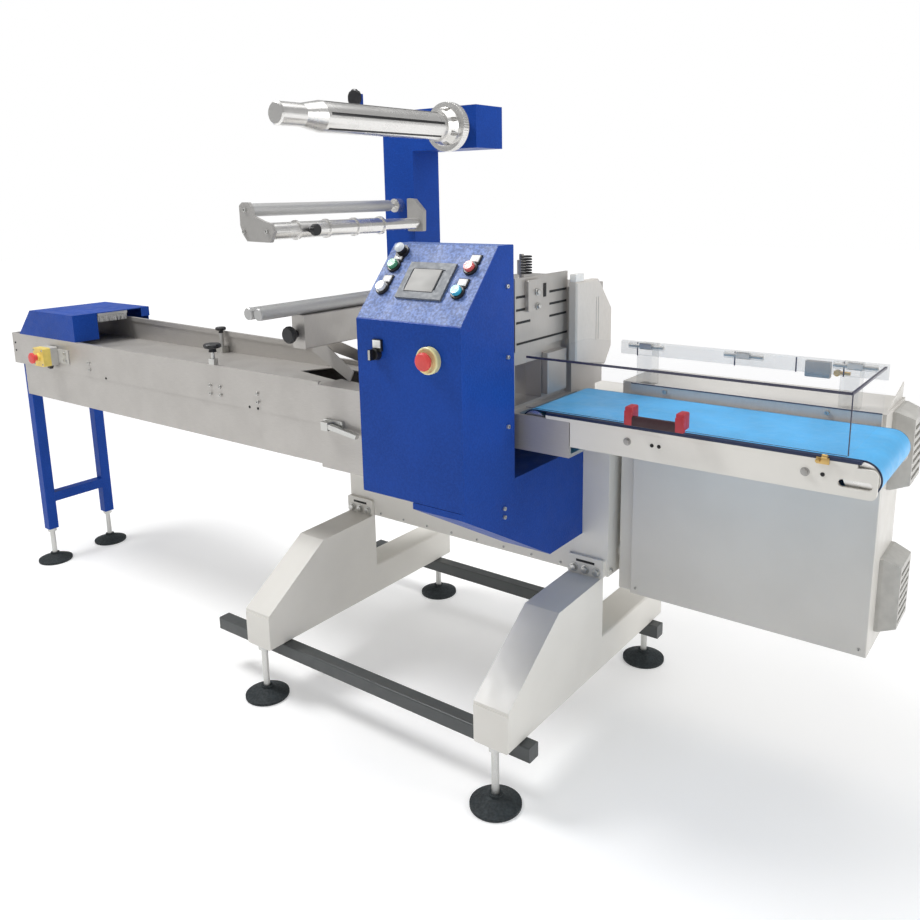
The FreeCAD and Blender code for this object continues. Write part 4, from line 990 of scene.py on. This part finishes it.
class Discharge(bpy.types.Operator):
    """Polished edges of the clear cover drawn dark as painted shade, its handle, belt edge with painted shadow
    beside it, bolts and catch of the discharge
    """

    bl_idname = "wrapper.discharge"
    bl_label = "Discharge"

    def execute(self, context):
        self.edges()
        self.handle()
        self.bed(context.scene.wrapper_fasteners)
        return {"FINISHED"}

    def edges(self):
        """Cut edges of the acrylic, which look dark end-on: dark strips, painted shade that stands for the
        refraction along the nearly clear sheet's edges.
        """
        cover = Span("discharge_cover")
        thick = 4.5
        thin = 1.8
        rise = 0.3
        shape = Shape()
        shape.block(
            (cover.left + 1, cover.front - rise, cover.top - thick),
            (cover.right + rise, cover.front + thick, cover.top + rise),
            "clear_edge", 0.4,
        )
        shape.block(
            (cover.right - thick, cover.front + thick, cover.top - thick),
            (cover.right + rise, cover.rear - 1, cover.top + rise),
            "clear_edge", 0.4,
        )
        shape.block(
            (cover.right - thin, cover.front - rise, cover.bottom + 1),
            (cover.right + rise, cover.front + thin, cover.top - thick),
            "clear_edge", 0.3,
        )
        shape.block(
            (cover.left + 1, cover.front - rise, cover.bottom),
            (cover.right - thin, cover.front + 1, cover.bottom + 1),
            "clear_edge", 0.2,
        )
        shape.piece("cover_edges", "discharge_cover")

    def handle(self):
        """Two end posts and the bar between them."""
        box = Span("cover_handle")
        post = 19.0
        shape = Shape()
        for low, high in ((box.left, box.left + post), (box.right - post, box.right)):
            shape.block((low, box.front + 2, box.bottom + 4), (high, box.rear, box.top), "handle_plastic", 4)
            shape.block(
                (low - 0.4, box.front, box.bottom), (high + 0.4, box.front + 12, box.top - 8), "handle_plastic", 3
            )
        shape.block(
            (box.left + 1, box.front + 0.6, box.bottom - 0.5), (box.right - 1, box.front + 11, box.bottom + 21),
            "handle_dark", 3,
        )
        made = shape.piece("cover_handle_posts", "discharge_cover")
        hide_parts("cover_handle")

    def bed(self, sizes):
        """Dark cut edge of the belt's upper run with painted shadow in the gap over the frame, screws of the frame
        and rail, and the brass catch.
        """
        belt = Span("discharge_belt")
        bed = Span("discharge_frame")
        rail = Span("discharge_rail")
        cover = Span("discharge_cover")
        small = sizes.small / MM
        cap = sizes.medium / MM
        shape = Shape()
        edge = 2.6
        drop = 11.0
        nose = (belt.top - belt.bottom) / 2
        shape.block(
            (bed.left, bed.front + 0.3, bed.top - drop - 1), (bed.right - nose, bed.front + 8, bed.top - 3.5),
            "frame_paint",
        )
        # A dark strip over the frame's top and the gap up to the belt: the belt's dark cut edge, with painted shadow
        # over the gap.
        shape.block(
            (bed.left, bed.front + 0.5, bed.top - 3.6), (belt.right - nose, belt.front - 0.3, bed.top + edge),
            "belt_rim_and_shadow", 0.6,
        )
        middle = bed.bottom + (bed.top - bed.bottom) * 0.52
        for x in (bed.left + 205, bed.right - 128):
            shape.hex_bolt((x, bed.front, middle), FRONT, cap, "end_plate")
        for x in (bed.left + 262, bed.left + 278, bed.right - 96):
            shape.pan_screw((x, bed.front, middle), FRONT, small, "recess")
        for x in (rail.left + 90, rail.right - 110):
            shape.cap_screw((x, rail.front, rail.top - 12), FRONT, cap * 0.8, "zinc_steel")
        shape.block(
            (rail.left, rail.front - 0.6, rail.top - 2.2), (rail.right, rail.front + 1, rail.top + 0.3), "clear_edge"
        )
        x = cover.right - 44
        y = bed.front
        shape.block((x - 12, y - 3, bed.top - 12), (x + 12, y, bed.top + 1), "brass", 1)
        shape.drum((x, y - 8, bed.top + 5), RIGHT, 4.5, 10, "brass", 1)
        shape.drum((x - 8, y - 6, bed.top - 5), FRONT, 4, 5, "brass", 1)
        strip = Span("cover_rail")
        stand = Span("hinge_leaves").rear
        for x in (strip.left + 48, strip.left + 292, strip.left + 430, strip.right - 88):
            shape.block(
                (x - 1.5, stand - 1, strip.top - 34), (x + 1.5, stand + 0.5, strip.top - 1), "clear_edge"
            )
        shape.block(
            (strip.right - 172, stand + 9, strip.top - 44), (strip.right - 118, stand + 24, strip.top - 8),
            "end_plate", 2,
        )
        shape.drum((strip.right - 104, stand + 9, strip.top - 30), -FRONT, 7, 12, "brass", 1.5)
        shape.drum((strip.right - 112, stand + 18, strip.top - 30), RIGHT, 4, 34, "brass", 1)
        shape.piece("discharge_details", MACHINE)


class Cabinet(bpy.types.Operator):
    """Panel screws, screws on the rear, screws of the fan grilles and a gusset on top of the electrical cabinet"""

    bl_idname = "wrapper.cabinet"
    bl_label = "Cabinet"

    def execute(self, context):
        sizes = context.scene.wrapper_fasteners
        panel = Span("cabinet_panel")
        box = Span("cabinet")
        small = sizes.small / MM
        shape = Shape()
        for x in (panel.left + 16, panel.right - 16):
            for z in (panel.bottom + 16, panel.bottom + 500):
                shape.pan_screw((x, panel.front, z), FRONT, small, "zinc_steel")
        for x in (box.left + 80, box.x, box.right - 40):
            for z in (box.bottom + 24, box.top - 24):
                shape.pan_screw((x, box.rear, z), -FRONT, small, "zinc_steel")
        fans = Span("filter_fans")
        for y in (fans.front + 9, fans.rear - 9):
            for z in (fans.bottom + 10, fans.bottom + 168, fans.top - 168, fans.top - 10):
                shape.pan_screw((fans.left + 8, y, z), RIGHT, small * 0.8, "recess")
        shape.piece("cabinet_screws", MACHINE)
        gusset = Shape()
        corners = [(box.front + 12, box.top - 1), (box.rear - 8, box.top - 1), (box.rear - 2, box.top + 36)]
        gusset.sheet(corners, 3, (box.right - 8, 0, 0), -FRONT, UP, "cabinet_paint", 0.5)
        gusset.piece("cabinet_gusset", MACHINE)
        return {"FINISHED"}


class Stage(bpy.types.Operator):
    """Pale floor, white surroundings, two soft boxes and the camera"""

    bl_idname = "wrapper.stage"
    bl_label = "Stage"

    def execute(self, context):
        settings = context.scene.wrapper_stage
        self.floor(settings)
        self.surroundings(context.scene, settings)
        self.lamp("key_lamp", (-1.9, -1.2, 4.3), 1.5, settings.key_power)
        self.lamp("top_lamp", (0.6, 0.4, 5.2), 5.0, settings.top_power)
        self.lamp("fill_lamp", (4.4, 0.9, 2.2), 2.2, settings.fill_power)
        context.scene.view_settings.view_transform = "Standard"
        context.scene.camera = self.camera(settings)
        return {"FINISHED"}

    def floor(self, settings):
        form = bmesh.new()
        bmesh.ops.create_grid(form, x_segments=2, y_segments=2, size=settings.floor_size / 2)
        mesh = bpy.data.meshes.new("floor")
        form.to_mesh(mesh)
        form.free()
        paper = Recipe("floor_paper", settings.floor_colour, 0.9)
        tone = paper.between(paper.grain(900, 2), 0, 1)
        paper.coloured(paper.mixed(tone, paper.shade(0.985), paper.shade(1.01)))
        paper.set("Emission Color", (1, 1, 1, 1))
        reach = paper.nodes.new("ShaderNodeVectorMath")
        reach.operation = "LENGTH"
        paper.links.new(paper.place, reach.inputs[0])
        glow = paper.between(reach.outputs["Value"], settings.near_glow, settings.far_glow, 1.8, 8.0)
        paper.links.new(glow, paper.shader.inputs["Emission Strength"])
        mesh.materials.append(paper.material)
        floor = bpy.data.objects.new("floor", mesh)
        bpy.context.scene.collection.objects.link(floor)

    def surroundings(self, scene, settings):
        world = bpy.data.worlds.new("studio")
        world.use_nodes = True
        nodes = world.node_tree.nodes
        links = world.node_tree.links
        light = nodes["Background"]
        light.inputs["Color"].default_value = (1, 1, 1, 1)
        light.inputs["Strength"].default_value = settings.sky
        backdrop = nodes.new("ShaderNodeBackground")
        backdrop.inputs["Color"].default_value = (1, 1, 1, 1)
        chooser = nodes.new("ShaderNodeMixShader")
        links.new(nodes.new("ShaderNodeLightPath").outputs["Is Camera Ray"], chooser.inputs["Fac"])
        links.new(light.outputs["Background"], chooser.inputs[1])
        links.new(backdrop.outputs["Background"], chooser.inputs[2])
        links.new(chooser.outputs["Shader"], nodes["World Output"].inputs["Surface"])
        scene.world = world

    def lamp(self, name, spot, size, power):
        data = bpy.data.lights.new(name, "AREA")
        data.shape = "DISK"
        data.size = size
        data.energy = power
        lamp = bpy.data.objects.new(name, data)
        lamp.location = spot
        aim = Vector((0, 0, 0.8)) - Vector(spot)
        lamp.rotation_euler = aim.to_track_quat("-Z", "Y").to_euler()
        bpy.context.scene.collection.objects.link(lamp)

    def camera(self, settings):
        forward = Vector((
            -math.sin(settings.turn) * math.cos(settings.dip),
            math.cos(settings.turn) * math.cos(settings.dip),
            -math.sin(settings.dip),
        ))
        level = forward.cross(UP).normalized()
        top = level.cross(forward)
        right = level * math.cos(settings.roll) + top * math.sin(settings.roll)
        upward = right.cross(forward)
        data = bpy.data.cameras.new("camera")
        data.lens = settings.focal_length
        data.sensor_width = 36
        data.shift_x, data.shift_y = settings.shift
        data.clip_end = 100
        camera = bpy.data.objects.new("camera", data)
        turn = Matrix((right, upward, -forward)).transposed()
        spot = Vector(settings.eye) + legs_middle()
        camera.matrix_world = Matrix.Translation(spot) @ turn.to_4x4()
        bpy.context.scene.collection.objects.link(camera)
        return camera


def slope_foot():
    """The height of the lower edge of the console's sloping face, in metres."""
    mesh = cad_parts["console_box"].data
    sloping = [face for face in mesh.polygons if 0.2 < face.normal.z < 0.95 and face.normal.y < -0.2]
    widest = max(sloping, key=lambda face: face.area)
    return min(mesh.vertices[index].co.z for index in widest.vertices) + 0.0015


def legs_middle():
    """The floor under the middle of the two leg frames' beams, in metres."""
    left = Span("leg_frame_left")
    right = Span("leg_frame_right")
    beam_middle = 4.5
    return Vector(((left.left + right.right) / 2, (left.front + left.rear) / 2 + beam_middle, 0)) * MM


PIECES = (
    Finishes, FrameFasteners, InfeedFasteners, HoodBrush, StopBox, FilmPath, Console, Head, Discharge, Cabinet
)


class Sidebar(bpy.types.Panel):
    """Lists the pieces of the dressing"""

    bl_idname = "VIEW3D_PT_wrapper"
    bl_label = "Flow wrapper"
    bl_space_type = "VIEW_3D"
    bl_region_type = "UI"
    bl_category = "Flow wrapper"

    def draw(self, context):
        for operator in (*PIECES, Stage):
            self.layout.operator(operator.bl_idname)
        for setting, group in SETTINGS.items():
            box = self.layout.box()
            for name in group.__annotations__:
                box.prop(getattr(context.scene, setting), name)


def register():
    for group in (*SETTINGS.values(), *PIECES, Stage, Sidebar):
        bpy.utils.register_class(group)
    for name, group in SETTINGS.items():
        setattr(bpy.types.Scene, name, bpy.props.PointerProperty(type=group))


def unregister():
    for name in SETTINGS:
        delattr(bpy.types.Scene, name)
    for group in reversed((*SETTINGS.values(), *PIECES, Stage, Sidebar)):
        bpy.utils.unregister_class(group)


def main():
    register()
    for operator in (*PIECES, Stage):
        area, name = operator.bl_idname.split(".")
        getattr(getattr(bpy.ops, area), name)()


if __name__ == "__main__":
    main()
